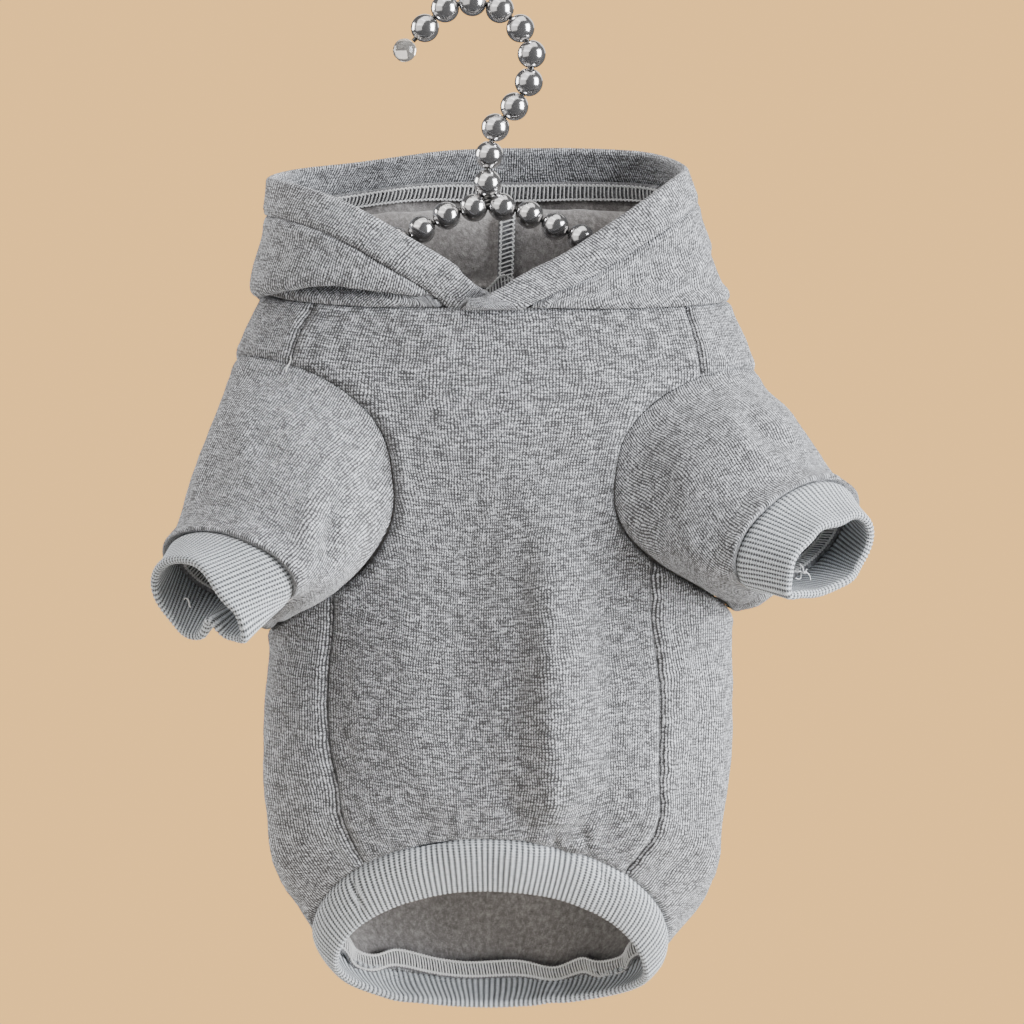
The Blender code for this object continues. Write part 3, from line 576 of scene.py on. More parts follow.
def ribKnit():
    finish = Finish("rib knit", {"Roughness": 0.9, "Sheen Weight": 0.2, "Sheen Roughness": 0.6,
                                 "Specular IOR Level": 0.2})
    place = finish.onCloth()
    u, v = finish.split(place)
    loops = stitches(u, v, 0.98, 0.85, 0.3, 1.0)
    streaks = finish.speckle(place, 0.5, 1.2, 3.0, 0.6)
    flecks = finish.speckle(place, 2.2, 2.2, 3.0, 0.8)
    tone = (streaks - 0.5) * 0.6 + (flecks - 0.5) * 1.2 + loops * 0.35 + 0.36
    colour = finish.ramp(tone, (0.24, 0.46, 0.70), tones["rib"])
    rib = finish.node("ShaderNodeAttribute", {"attribute_name": "rib"}, output=2)
    dotShade = (v.calc("FRACT") - 0.5).calc("ABSOLUTE") * 2.0  # painted shade: a dark dot each millimetre down the furrow between two ribs
    # painted shade: the colour is mixed towards near black in the furrows between the ribs, more so at each
    # dot
    grooveShade = (1.0 - rib).calc("MAXIMUM", 0.0) * (0.22 + dotShade * 1.7)
    colour = finish.mixColour((grooveShade * 1.9).calc("MINIMUM", 0.93), colour, tones["ribGrooveShade"])
    finish.feed(finish.shader, {"Base Color": colour,
                                "Normal": finish.relief(loops * 0.7 + flecks * 0.5, 0.7, 0.35)})
    return finish.material


def cutEdge():  # brushed cut edges under the overlock threads
    finish = Finish("cut edge", {"Roughness": 1.0, "Sheen Weight": 0.3, "Specular IOR Level": 0.1})
    tufts = finish.speckle(finish.onCloth(), 1.1, 0.8, 1.0)
    finish.feed(finish.shader, {"Base Color": finish.ramp(tufts, (0.35, 0.55, 0.72), tones["edge"]),
                                "Normal": finish.relief(tufts, 0.6, 0.4)})
    return finish.material


def overlockThread():
    finish = Finish("white overlock thread", {"Roughness": 0.7, "Sheen Weight": 0.2})
    twist = finish.node("ShaderNodeTexWave", {"bands_direction": "DIAGONAL"},
                        {"Vector": finish.inSpace(), "Scale": 900.0, "Distortion": 1.5})
    finish.feed(finish.shader, {"Base Color": finish.mixColour(twist, *tones["thread"]),
                                "Normal": finish.relief(twist, 0.5, 0.08)})
    return finish.material


def pearlFinish():
    finish = Finish("grey pearl", {"Metallic": 0.95, "Coat Weight": 1.0, "Coat Roughness": 0.05})
    clouds = finish.noise(finish.inSpace(), 260.0, 3.0, 0.55)
    finish.feed(finish.shader, {"Base Color": finish.ramp(clouds, (0.30, 0.55, 0.75), tones["pearl"]),
                                "Roughness": clouds * 0.05 + 0.13})
    return finish.material


def clearFinish():
    finish = Finish("clear bead", {"Roughness": 0.04, "IOR": 1.49, "Transmission Weight": 0.92})
    flaws = finish.noise(finish.inSpace(), 340.0)
    finish.feed(finish.shader, {"Base Color": finish.mixColour(flaws, *tones["clear"]),
                                "Normal": finish.relief(flaws, 0.05, 0.1)})
    return finish.material


def wireFinish():
    finish = Finish("dark wire", {"Metallic": 1.0})
    grime = finish.noise(finish.inSpace(), 900.0, 3.0)
    finish.feed(finish.shader, {"Base Color": finish.mixColour(grime, *tones["wire"]),
                                "Roughness": grime * 0.3 + 0.2})
    return finish.material


def paleFloor():
    finish = Finish("pale floor", {"Roughness": 0.8})
    grain = finish.noise(finish.inSpace(), 40.0, 3.0)
    finish.feed(finish.shader, {"Base Color": finish.mixColour(grain, *tones["floor"])})
    return finish.material


finishes = {
    "knit": heatherKnit("heather knit", **knitLook["plain"]),
    "belly": heatherKnit("heather belly knit", **knitLook["belly"]),
    "fleece": brushedFleece(), "rib": ribKnit(), "edge": cutEdge(), "thread": overlockThread(),
    "pearl": pearlFinish(), "clear": clearFinish(), "wire": wireFinish(), "floor": paleFloor(),
}
print("finishes are mixed")


def panelGrid(which):  # a panel from seam to seam, the cells that the armholes take, and the seams round it
    cols = body["columns"][which]
    drops = np.repeat(closer(body["rows"])[:, None], cols, 1)
    across = closer(cols)
    if which == "front":
        across = across * 2 - 1
        angles = np.where(across < 0, -across * seamAngle("left", drops), across * seamAngle("right", drops))
    else:
        angles = seamAngle("right", drops) * (1 - across) + (360 + seamAngle("left", drops)) * across
    gone = np.zeros((drops.shape[0] - 1, cols - 1), bool)
    edges = []
    for side in sides:
        middle = [(grid[:-1, :-1] + grid[1:, :-1] + grid[1:, 1:] + grid[:-1, 1:]) / 4
                  for grid in (angles, drops)]
        hole = insideArmhole(side, *middle)
        gone |= hole
        padded = np.pad(hole, 1)
        touched = padded[:-1, :-1] | padded[1:, :-1] | padded[:-1, 1:] | padded[1:, 1:]
        inside = padded[:-1, :-1] & padded[1:, :-1] & padded[:-1, 1:] & padded[1:, 1:]
        rim = touched & ~inside  # these corners move onto the armhole's edge
        edgeAngle, edgeDrop = armholeEdge(side, np.arange(0, 1, 1 / body["rimPlaces"]))
        edge = bodyPoint(edgeAngle, edgeDrop)
        near = np.linalg.norm(bodyPoint(angles[rim], drops[rim])[:, None] - edge[None], axis=2).argmin(1)
        turns = np.round((angles[rim] - edgeAngle[near]) / 360)
        angles[rim], drops[rim] = edgeAngle[near] + 360 * turns, edgeDrop[near]
        edges.append(edge)
    points = bodyPoint(angles, drops)
    return points, gone, [points[0], points[-1], points[:, 0], points[:, -1], *edges]


for which, finish in (("front", "belly"), ("back", "knit")):
    points, gone, curves = panelGrid(which)
    addCloth(which + "_body_cloth", points, False, body, curves, which + "_panel", ("hanger_arms",),
             holes=gone, finish=finish, grain="gathered")

sleeves = {  # from the armhole to an oval at the cuff seam, given by its end, axis and two half widths
    "columns": 150, "rows": 84, "thickness": 1.5, "wobble": 0.6, "seed": 11.0, "turn": 0.12,
    "seamDepth": 0.6, "seamReach": 1.2, "puff": 0.35, "lip": 1.3,
    "left": {"end": (-87.0, -40.0, -192.0), "axis": (-0.62, -0.63, -0.47), "grain": (-0.50, -0.35, -0.67),
             "outer": (-20.0, 9.5, 8.5), "near": (6.5, -11.0, 9.0),
             "fullness": 1.17, "drawnIn": (0.66, 0.16, 0.36)},
    "right": {"end": (104.5, -38.0, -180.5), "axis": (0.66, -0.72, -0.20), "grain": (0.62, -0.50, -0.58),
              "outer": (18.0, 9.5, 15.0), "near": (-8.5, -10.5, 10.0),
              "fullness": 1.15, "drawnIn": (0.60, 0.13, 0.26)},
    "creases": (
        ("front", -56.0, -160.0, -61.0, -192.0, 2.0, 4.5, 2.0),
        ("front", -51.5, -166.0, -54.0, -190.0, -2.3, 3.0, 1.5),
        ("front", -80.0, -140.0, -66.0, -158.0, -1.3, 5.0, 3.0),
        ("front", -88.0, -170.0, -74.0, -180.0, 0.7, 4.0, 2.0),
        ("front", 88.0, -137.0, 108.0, -150.0, -1.7, 3.2, 4.0),
        ("front", 84.0, -143.0, 103.0, -158.0, 1.5, 3.6, 4.0),
        ("front", 60.0, -150.0, 58.0, -186.0, -1.5, 3.5, -2.0),
        ("front", 66.0, -180.0, 78.0, -197.0, 1.4, 4.0, -2.0),
        ("front", 62.0, -188.0, 74.0, -201.0, -1.0, 2.6, -1.0),
        ("back", -92.0, -140.0, -78.0, -170.0, -1.8, 4.0, 3.0),
        ("back", -72.0, -150.0, -66.0, -182.0, 0.9, 4.5, -2.0),
        ("back", 96.0, -138.0, 86.0, -170.0, -1.8, 4.0, -3.0),
        ("back", 78.0, -150.0, 74.0, -180.0, 0.9, 4.5, 2.0),
        ("left", -20.0, -140.0, -34.0, -172.0, -1.7, 4.0, 3.0),
        ("left", -2.0, -136.0, -14.0, -176.0, 0.9, 4.5, 3.0),
        ("right", -18.0, -138.0, -34.0, -166.0, -1.7, 4.0, -3.0),
        ("right", 0.0, -134.0, -12.0, -170.0, 0.9, 4.5, -3.0),
    ),
}


def ringPoints(centre, outer, near, shares, size=1.0):  # an oval through two half widths
    turn = 2 * np.pi * shares[:, None]
    return np.array(centre) + size * (np.cos(turn) * np.array(outer) + np.sin(turn) * np.array(near))


def evenTurns(ring, count):  # shares of a turn whose places on the ring lie evenly along it
    fine = np.arange(2401) / 2400
    reach = lengthsAlong(ring(fine), 0)
    return np.interp(np.arange(count) / count * reach[-1], reach, fine)


def around(shares, middle, width):  # 1 at a place on a ring, and nothing away from it
    away = (shares - middle + 0.5) % 1.0 - 0.5
    return np.exp(-(away / width) ** 2)[:, None]


def sleeveGrid(side, shares):
    sleeve, hole = sleeves[side], body["armholes"][side]
    angle, drop = armholeEdge(side, shares)
    start = bodyPoint(angle, drop)
    inwards = bodyPoint(angle + (hole["angle"] - angle) * 0.12, drop + (hole["drop"] - drop) * 0.12) - start
    overlap = (0.55 + 0.45 * np.cos(2 * np.pi * shares))[:, None]  # it lies on the body at the shoulder
    start = start + unit(inwards) * (0.15 + 1.4 * (1 - overlap))
    middle = bodyPoint(hole["angle"], hole["drop"])
    axis = unit(np.array(sleeve["axis"]))
    oval = (sleeve["end"], sleeve["outer"], sleeve["near"], shares + sleeves["turn"])
    tightPlace, tightWidth, tightness = sleeve["drawnIn"]
    end, loose = ringPoints(*oval), ringPoints(*oval, sleeve["fullness"])
    full = ringPoints(*oval, sleeve["fullness"] - tightness * around(oval[-1], tightPlace, tightWidth))
    away = unit(start - middle)
    outwards = unit(np.array(sleeve["end"]) - middle)
    control = np.stack((
        start,
        start + inwards * 0.9 * overlap + outwards * 3.0 * (1 - overlap),
        start * 0.72 + loose * 0.28 + 13.0 * outwards * overlap / 2 + away * 1.0,
        start * 0.30 + loose * 0.70 + away * 2.0,
        full - axis * 6.0,
        full + axis * 0.5,
        full * 0.7 + end * 0.3 + axis * 0.3,
        end - axis * sleeves["lip"],
    ))
    return np.tensordot(splineWeights(len(control), closer(sleeves["rows"], 0.45)), control, 1)


half = sleeves["columns"] // 2
for side in sides:
    points = sleeveGrid(side, np.arange(sleeves["columns"]) / sleeves["columns"])
    underarm = points[:, half]
    points = rightWayRound(np.roll(points, half, 1), True)
    curves = [points[0], points[-1], underarm]
    addCloth(side + "_sleeve_cloth", points, True, sleeves, curves, side + "_sleeve",
             ("front_body_cloth", "back_body_cloth"), grain=sleeves[side]["grain"])
print("body and sleeves are cut and sewn")


def ribHeights(rows, cols, ribs, stagger):  # rounded ribs with narrow grooves that waver a little
    turn = np.arange(cols) / cols * ribs
    down = np.linspace(0, 1, rows)[:, None]
    drift = [stagger * noise.noise(Vector((math.cos(t) * 3, math.sin(t) * 3, d[0] * 1.2)))
             for d in down for t in turn / ribs * 2 * math.pi]
    phase = turn[None] + np.array(drift).reshape(rows, cols)
    return np.abs(np.sin(np.pi * phase)) ** 0.58


def shortened(middle, amount):  # the rows drawn back from the free edge, to make room for its rounding
    rows = middle.shape[0]
    whole = lengthsAlong(middle, 0)[-1]
    places = np.linspace(0, 1, rows)[:, None] * (rows - 1) * (1 - amount / whole)
    low = np.minimum(places.astype(int), rows - 2)
    share = (places - low)[..., None]
    cols = np.arange(middle.shape[1])[None]
    return middle[low, cols] * (1 - share) + middle[low + 1, cols] * share


bands = {  # how every band is folded and sewn on
    "wobble": 0.3, "wobbleSize": 14.0, "seed": 5.0, "pinch": 0.45, "pinchReach": 1.1, "innerRibs": 0.7,
    "roundSteps": 9, "allowance": ((1.4, 1.0), (0.6, 0.76)),  # upwards and inwards, in tucks
}


def tucked(middle, normals, deep):  # the seam allowance runs on inside the cloth that the band is sewn to
    up = unit(middle[0] - middle[1])
    allowance = [middle[0] + up * rise * deep - normals[0] * inwards * deep
                 for rise, inwards in bands["allowance"]]
    return np.concatenate((allowance, middle))


def addBand(name, middle, options, finish, node, heldBy, closed=True):
    # Folded double: an outer and an inner layer round the band's middle, joined by a rounded free edge
    half, tuck, rise = options["thickness"] / 2, options["tuck"], options["rise"]
    normals = clothNormals(middle, closed)
    uneven = creaseRise(middle, normals, options.get("creases", ()))
    uneven = uneven + wobble(middle, bands["wobble"], bands["wobbleSize"], bands["seed"])
    middle = middle + normals * uneven[..., None]
    normals = clothNormals(middle, closed)
    down = unit(middle[-1] - middle[-3])
    middle = tucked(shortened(middle, half), normals, tuck)
    normals = np.concatenate((normals[:1], normals[:1], normals))
    rows, cols = middle.shape[:2]
    ribs = np.zeros((rows, cols))
    if options["ribs"]:
        ribs = ribHeights(rows, cols, options["ribs"], options["stagger"])
    along = lengthsAlong(middle, 0) - 1.6 * tuck
    pinch = bands["pinch"] * np.exp(-(np.maximum(along, 0) / bands["pinchReach"]) ** 2)
    sunk = np.clip(1 - pinch, 0, 1)  # it is thinner where it is sewn on
    outer = middle + normals * (half * sunk + rise * ribs * sunk)[..., None]
    inner = middle - normals * (half * sunk + rise * ribs * sunk * bands["innerRibs"])[..., None]
    turns = np.linspace(0, np.pi, bands["roundSteps"])[1:-1]
    reach = half + rise * ribs[-1]
    lip = [middle[-1] + (normals[-1] * np.cos(t) + down * np.sin(t)) * reach[:, None] for t in turns]
    loop = np.concatenate((outer, np.stack(lip), inner[::-1]))
    marks = None
    if options["ribs"]:
        marks = np.concatenate((ribs, np.repeat(ribs[-1:], len(turns), 0), ribs[::-1]))
    edge = wrapped(middle, closed)
    cut = flatPlaces(edge)
    flat = flatPlaces(wrapped(np.concatenate((loop, loop[:1])), closed))
    flat[..., 0] = cut[0, :, 0]
    piece = meshFromGrid(name, loop, flat, closedAcross=closed, closedDown=True, marks=marks)
    if not closed:  # cap the two ends
        bpy.ops.object.mode_set(mode="EDIT")
        bpy.ops.mesh.select_all(action="DESELECT")
        bpy.ops.mesh.select_mode(type="EDGE")
        bpy.ops.mesh.select_non_manifold()
        bpy.ops.mesh.fill_holes(sides=0)
        bpy.ops.object.mode_set(mode="OBJECT")
    dressPiece(piece, (finish,), node)
    noteSheet(name, sheetSize(cut, closed), clothArea(edge), "stretched", heldBy)


hem = {
    "thickness": 2.7, "ribs": 162, "rise": 0.34, "columns": 7, "rows": 12, "stagger": 0.4, "tuck": 1.7,
    "lean": 2.0, "gap": 0.6,
    "sections": {  # half widths, half depths and levels from the seam, 0, to the free edge, 1
        "share": (0.0, 0.45, 1.0), "left": (60.0, 58.5, 52.5), "right": (62.0, 60.5, 54.5),
        "front": (27.0, 26.0, 19.0), "back": (28.0, 26.0, 18.0), "zFront": (-285.3, -292.5, -303.0),
        "zSide": (-320.3, -327.0, -332.5), "zBack": (-338.3, -343.0, -347.0),
    },
    "creases": (
        ("front", -46.0, -299.0, -43.5, -311.0, -1.0, 1.1, 0.0),  # where its ends are joined
        ("front", 38.0, -296.0, 44.0, -303.0, -0.9, 2.0, 0.6),
        ("front", 8.0, -289.0, 12.0, -301.0, 0.5, 6.0, 0.0),
        ("back", 20.0, -338.0, 23.0, -347.0, -1.0, 4.0, 0.0),
        ("back", -34.0, -336.0, -31.0, -346.0, 0.8, 6.0, 0.0),
    ),
}


def hemRings(angles, places):
    side, face = np.sin(np.radians(angles)), np.cos(np.radians(angles))
    table = hem["sections"]
    rings = []
    for place in places:
        size = {name: smoothRead(table["share"], values, place) for name, values in table.items()}
        wide = np.where(side < 0, size["left"], size["right"])
        deep = np.where(face > 0, size["front"], size["back"])
        lean = -hem["lean"] * side
        z = size["zSide"] + lean + (size["zFront"] - size["zSide"] - lean) * np.maximum(face, 0)
        z += (size["zBack"] - size["zSide"] - lean) * np.maximum(-face, 0)
        here = np.stack((wide * side, -deep * face, z), -1)
        share = (1 - place) ** 2  # it starts along the body's own edge
        rings.append(here * (1 - share) + (bodyPoint(angles, 1.0) - upright * hem["gap"]) * share)
    return np.stack(rings)


turns = evenTurns(lambda shares: hemRings(shares * 360, (0.5,))[0], hem["ribs"] * hem["columns"])
hemMiddle = rightWayRound(hemRings(360 * turns, np.linspace(0, 1, hem["rows"])), True)
addBand("hem_rib_band", hemMiddle, hem, finishes["rib"], "hem_band",
        ("front_body_cloth", "back_body_cloth"))

cuffs = {  # the free edge is an oval, pushed out of round by folds: place, width and way
    "thickness": 2.6, "ribs": 74, "rise": 0.32, "columns": 7, "rows": 11, "stagger": 0.3, "tuck": 1.7,
    "waist": 0.8, "gap": 0.3,
    "left": {"end": (-98.5, -51.0, -202.0), "outer": (-15.0, 8.0, 6.0), "near": (1.0, -7.0, 12.0),
             "folds": ((0.675, 0.034, (-1.6, -3.5, 6.2)), (0.545, 0.05, (2.2, -0.6, -4.2)),
                       (0.375, 0.09, (-2.4, 0.8, -3.4)), (0.78, 0.05, (-0.6, 0.0, -1.6)))},
    "right": {"end": (116.5, -51.0, -186.5), "outer": (12.6, 8.0, 11.0), "near": (-6.5, -7.0, 7.5),
              "folds": ((0.50, 0.045, (-1.8, -0.4, -2.6)), (0.15, 0.06, (0.8, 0.4, -2.4)),
                        (0.28, 0.05, (1.6, 0.4, -0.2)), (0.73, 0.05, (2.4, 0.0, 0.3)))},
}


def cuffRings(side, shares, rows):
    sleeve, cuff = sleeves[side], cuffs[side]
    axis = unit(np.array(sleeve["axis"]))
    seam = ringPoints(sleeve["end"], sleeve["outer"], sleeve["near"], shares) + axis * cuffs["gap"]
    edge = ringPoints(cuff["end"], cuff["outer"], cuff["near"], shares)
    for place, width, push in cuff["folds"]:
        edge = edge + around(shares, place, width) * np.array(push)
    centre = (np.array(sleeve["end"]) + np.array(cuff["end"])) / 2
    waist = (seam + edge) / 2 - unit((seam + edge) / 2 - centre) * cuffs["waist"]
    return np.tensordot(splineWeights(3, np.linspace(0, 1, rows), 2), np.stack((seam, waist, edge)), 1)


cuffMiddles = {}
for side in sides:
    turns = evenTurns(lambda shares: cuffRings(side, shares, 3)[1], cuffs["ribs"] * cuffs["columns"])
    cuffMiddles[side] = rightWayRound(cuffRings(side, turns, cuffs["rows"]), True)
    addBand(side + "_rib_cuff", cuffMiddles[side], cuffs, finishes["rib"], side + "_cuff",
            (side + "_sleeve_cloth",))
print("ribbed hem and cuffs are on")

hood = {
    "stations": 96, "rows": 76, "thickness": 1.5, "wobble": 0.45, "seed": 23.0,
    "seamDepth": 1.4, "seamReach": 1.2, "puff": 0.45, "seamLean": 2.6, "neckHalves": (82, 23),
    "lap": 2.2, "lapReach": 22,  # where the right half laps over the left at the throat
    "leastCloth": 2.5,  # the depth below the edge band at which each half begins
    "roll": 1.7, "sag": 1.3, "rollPlace": 62, "rollSpread": 48,  # how it rolls over the neck seam
    "sectionColumns": ("station", "x", "y", "z", "turnDown", "turnUp", "spread", "bow"),
    "sections": {
        "left": (
            (1.0, 1.5, -20.0, -96.5, 4.0, 4.0, 0.0, 0.0),
            (8.0, -2.6, -20.5, -94.0, 4.0, 4.0, 0.0, 0.0),
            (20.0, -11.6, -22.0, -86.4, 4.5, 4.6, 0.4, 1.0),
            (35.0, -26.1, -22.0, -77.8, 9.0, 5.6, 2.4, 3.0),
            (50.0, -40.0, -20.0, -69.6, 12.0, 6.0, 3.3, 4.0),
            (65.0, -54.0, -15.0, -62.7, 11.0, 3.2, 3.4, 4.0),
            (80.0, -68.9, -7.0, -57.3, 9.0, 0.0, 3.1, 1.5),
            (92.0, -76.3, 2.0, -54.8, 9.0, 0.0, 2.8, 0.0),
            (105.0, -69.3, 14.0, -51.4, 15.0, -4.0, 3.2, 3.0),
            (125.0, -43.9, 24.0, -47.7, 25.0, -14.0, 4.6, 6.5),
            (150.0, -17.3, 29.0, -43.7, 28.0, -19.0, 6.0, 9.0),
            (180.0, 5.9, 31.0, -42.4, 28.0, -20.0, 6.5, 9.5),
        ),
        "right": (
            (-7.0, -6.8, -26.5, -99.0, 3.0, 3.0, 0.0, 0.0),
            (6.0, -1.2, -26.5, -97.5, 3.0, 3.0, 0.0, 0.0),
            (20.0, 10.5, -26.0, -90.6, 3.0, 5.0, 0.0, 0.0),
            (35.0, 24.9, -23.5, -83.3, 5.0, 9.0, 0.0, 1.0),
            (50.0, 37.8, -20.0, -74.8, 7.0, 14.0, 0.0, 2.0),
            (65.0, 52.8, -15.0, -64.4, 10.0, 18.0, 0.0, 2.4),
            (80.0, 63.5, -7.0, -56.2, 13.0, 20.0, 0.2, 1.0),
            (93.0, 68.3, 3.0, -51.7, 16.0, 19.0, 0.3, 0.6),
            (106.0, 65.0, 14.0, -47.8, 21.0, 15.0, 1.8, 2.0),
            (125.0, 53.9, 24.0, -44.1, 30.0, -6.0, 4.8, 6.5),
            (150.0, 30.9, 30.0, -42.5, 29.0, -17.0, 6.0, 9.0),
            (180.0, 5.9, 31.0, -42.4, 28.0, -20.0, 6.5, 9.5),
        ),
    },
    "creases": (
        ("front", -72.0, -66.0, -40.0, -82.0, 0.8, 5.0, -2.0),
        ("front", -66.0, -78.0, -34.0, -88.0, -0.6, 4.0, -1.0),
        ("front", 50.0, -98.0, 78.0, -84.0, 0.8, 5.0, -3.0),
        ("back", -30.0, -58.0, -36.0, -84.0, -0.9, 5.0, 2.0),
        ("back", 28.0, -56.0, 36.0, -84.0, -0.9, 5.0, -2.0),
        ("back", -6.0, -60.0, 8.0, -86.0, 0.9, 6.0, 0.0),
        ("left", 4.0, -62.0, 2.0, -86.0, -0.8, 4.0, 1.0),
        ("right", 4.0, -60.0, 0.0, -88.0, -0.8, 4.0, -1.0),
    ),
}

hoodEdge = {"thickness": 3.2, "width": 13.0, "ribs": 0, "rise": 0.0, "rows": 16, "columns": 150, "tuck": 0.2}

hoodTables = {side: dict(zip(hood["sectionColumns"], np.array(hood["sections"][side]).T)) for side in sides}


def hoodProfile(side, station):  # the cloth's line from the neck seam up to the rim, and the lengths along it
    table = hoodTables[side]
    size = {name: smoothRead(table["station"], table[name], station) for name in hood["sectionColumns"][1:]}
    seamLean = hood["seamLean"] * min(max((station - 120) / 60, 0), 1) ** 2
    angle = -station - seamLean if side == "left" else station - seamLean
    neck = bodyPoint(angle, 0.0)
    lap = hood["lap"] * math.exp(-(station / hood["lapReach"]) ** 2)
    neck[1] += lap if side == "left" else -lap
    rim = np.array((size["x"], size["y"], size["z"]))
    rise = max(rim[2] - neck[2], 0.6)
    halfWidth, halfDepth = hood["neckHalves"]
    turned = math.radians(angle)
    out = unit(np.array((math.sin(turned) / halfWidth, -math.cos(turned) / halfDepth, 0.0)))

    def at(up, off):
        share = min(max(up / rise, 0), 1)
        point = neck * (1 - share) + rim * share
        point[2] = neck[2] + up
        return point + out * off

    down, up = min(size["turnDown"], rise * 0.55), min(size["turnUp"], rise * 0.55)
    spread, bow = size["spread"], size["bow"]
    lean, roll = 0.5 * spread, 0.28 * spread
    control = np.array((
        at(0, 0), at(down * 0.5, -lean), at(down, -lean - roll), at(down, spread - lean + roll),
        at(up, spread - roll), at(up, 2 * spread + roll),
        at(up + (rise - up) * 0.35, 1.4 * spread + bow * 0.4), at(rise * 0.78, bow), rim,
    ))
    points = splineWeights(len(control), np.linspace(0, 1, 240), 2) @ control
    # the cloth rolls out and down over the neck seam
    reach = np.linalg.norm(points - neck, axis=1)
    shown = math.exp(-((station - hood["rollPlace"]) / hood["rollSpread"]) ** 4)
    points += out * (shown * hood["roll"] * np.exp(-((reach - 2.2) / 2.0) ** 2))[:, None]
    points[:, 2] -= shown * hood["sag"] * np.exp(-((reach - 1.6) / 1.6) ** 2)
    return points, lengthsAlong(points, 0)


def hoodRows(side, stations, low, high, places):  # the hood between two lengths up its profile
    grid = []
    for station in stations:
        points, lengths = hoodProfile(side, station)
        measure = lengths / lengths[-1] + np.linspace(0, 1, len(points))
        first, last = np.interp((low(lengths[-1]), high(lengths[-1])), lengths, measure)
        grid.append(readAlong(points, measure, first + (last - first) * places))
    return np.stack(grid, 1)


for side in sides:
    tries = np.linspace(0, 60, 241)
    below = np.array([hoodProfile(side, station)[1][-1] - hoodEdge["width"] for station in tries])
    first = tries[np.argmax(below > hood["leastCloth"])]  # at the throat the edge band lies on the neck seam
    stations = first + (180 - first) * closer(hood["stations"], 0.4)
    points = hoodRows(side, stations, lambda whole: 0.0, lambda whole: max(whole - hoodEdge["width"], 0.9),
                      closer(hood["rows"], 0.4))[::-1]
    if side == "left":
        points = points[:, ::-1]
    addCloth(f"hood_{side}_cloth", points, False, hood, [points[0], points[-1], points[:, 0], points[:, -1]],
             f"hood_{side}", ("front_body_cloth", "back_body_cloth"))

leftEnd, rightEnd = (hoodTables[side]["station"][0] for side in sides)  # the right end laps over the left
facing = [hoodRows(side, np.linspace(*ends, hoodEdge["columns"]),
                   lambda whole: max(whole - hoodEdge["width"] + 0.1, 0.0), lambda whole: whole,
                   np.linspace(0, 1, hoodEdge["rows"]))
          for side, ends in (("left", (leftEnd, 180)), ("right", (180, rightEnd)))]
facing = np.concatenate((facing[0], facing[1][:, 1:]), 1)
addBand("hood_edge_band", facing, hoodEdge, finishes["knit"], "hood_facing",
        ("hood_left_cloth", "hood_right_cloth"), closed=False)
print("hood is draped")

hanger = {
    "beadSize": 9.9, "pitch": 9.95, "hookBeads": 11, "armBeads": 7, "neckBead": 4.7, "tipSize": 8.2,
    "holeShare": 0.955, "lip": 0.9, "segments": 36, "rings": 22, "sortedFrom": (11.0, 17.0, 23.0),
    "wire": 0.8,
    "hook": ((-26.2, -7.4), (-23.4, -4.4), (-16.4, 3.3), (-7.2, 6.2), (3.0, 4.4), (10.9, -2.4), (15.2, -11.6),
             (14.2, -22.0), (9.0, -30.6), (2.6, -37.6), (0.4, -47.4), (-0.2, -56.6), (0.4, -61.9)),
    "arms": ((-69.5, -91.4), (-62.0, -89.0), (-48.0, -84.0), (-33.0, -77.6), (-21.0, -72.3), (-13.0, -67.8),
             (-4.0, -65.6), (6.0, -65.6), (14.6, -68.2), (22.9, -72.0), (35.0, -77.4), (49.0, -83.4),
             (62.0, -88.4), (69.5, -91.2)),
    "wrap": {"turns": 22, "radius": 1.6, "x": 0.5, "z": -65.9, "rise": 5.0},  # round the hook's foot
}


def lineThrough(points, count):  # even places on a smooth line, and its length
    given = np.array(points, float)
    reach = lengthsAlong(given, 0)
    fine = np.linspace(0, reach[-1], 600)
    line = np.stack([smoothRead(reach, axis, fine) for axis in given.T], -1)
    length = lengthsAlong(line, 0)
    return readAlong(line, length, np.linspace(0, length[-1], count)), length[-1]


def drilledBead(name, size):  # a ball whose poles are opened, with the lip of the hole turned in
    bpy.ops.object.select_all(action="DESELECT")
    bpy.ops.mesh.primitive_uv_sphere_add(segments=hanger["segments"], ring_count=hanger["rings"],
                                         radius=size / 2 * mm)
    bead = bpy.context.object
    bead.name = name
    limit = size / 2 * mm * hanger["holeShare"]
    bpy.ops.object.mode_set(mode="EDIT")
    bpy.ops.mesh.select_mode(type="FACE")
    bpy.ops.mesh.select_all(action="DESELECT")
    bpy.ops.object.mode_set(mode="OBJECT")
    bead.data.polygons.foreach_set("select", [abs(face.center.z) > limit for face in bead.data.polygons])
    bpy.ops.object.mode_set(mode="EDIT")
    bpy.ops.mesh.extrude_region_shrink_fatten(TRANSFORM_OT_shrink_fatten={"value": -hanger["lip"] * mm})
    # extruding leaves the new faces in a chance order, so all are sorted by their distance from one place
    cursor = bpy.context.scene.cursor
    cursor.location = [value * mm for value in hanger["sortedFrom"]]
    bpy.ops.mesh.select_all(action="SELECT")
    bpy.ops.mesh.sort_elements(type="CURSOR_DISTANCE", elements={"VERT", "EDGE", "FACE"})
    cursor.location = (0, 0, 0)
    bpy.ops.object.mode_set(mode="OBJECT")
    bpy.ops.object.shade_smooth()
    return bead


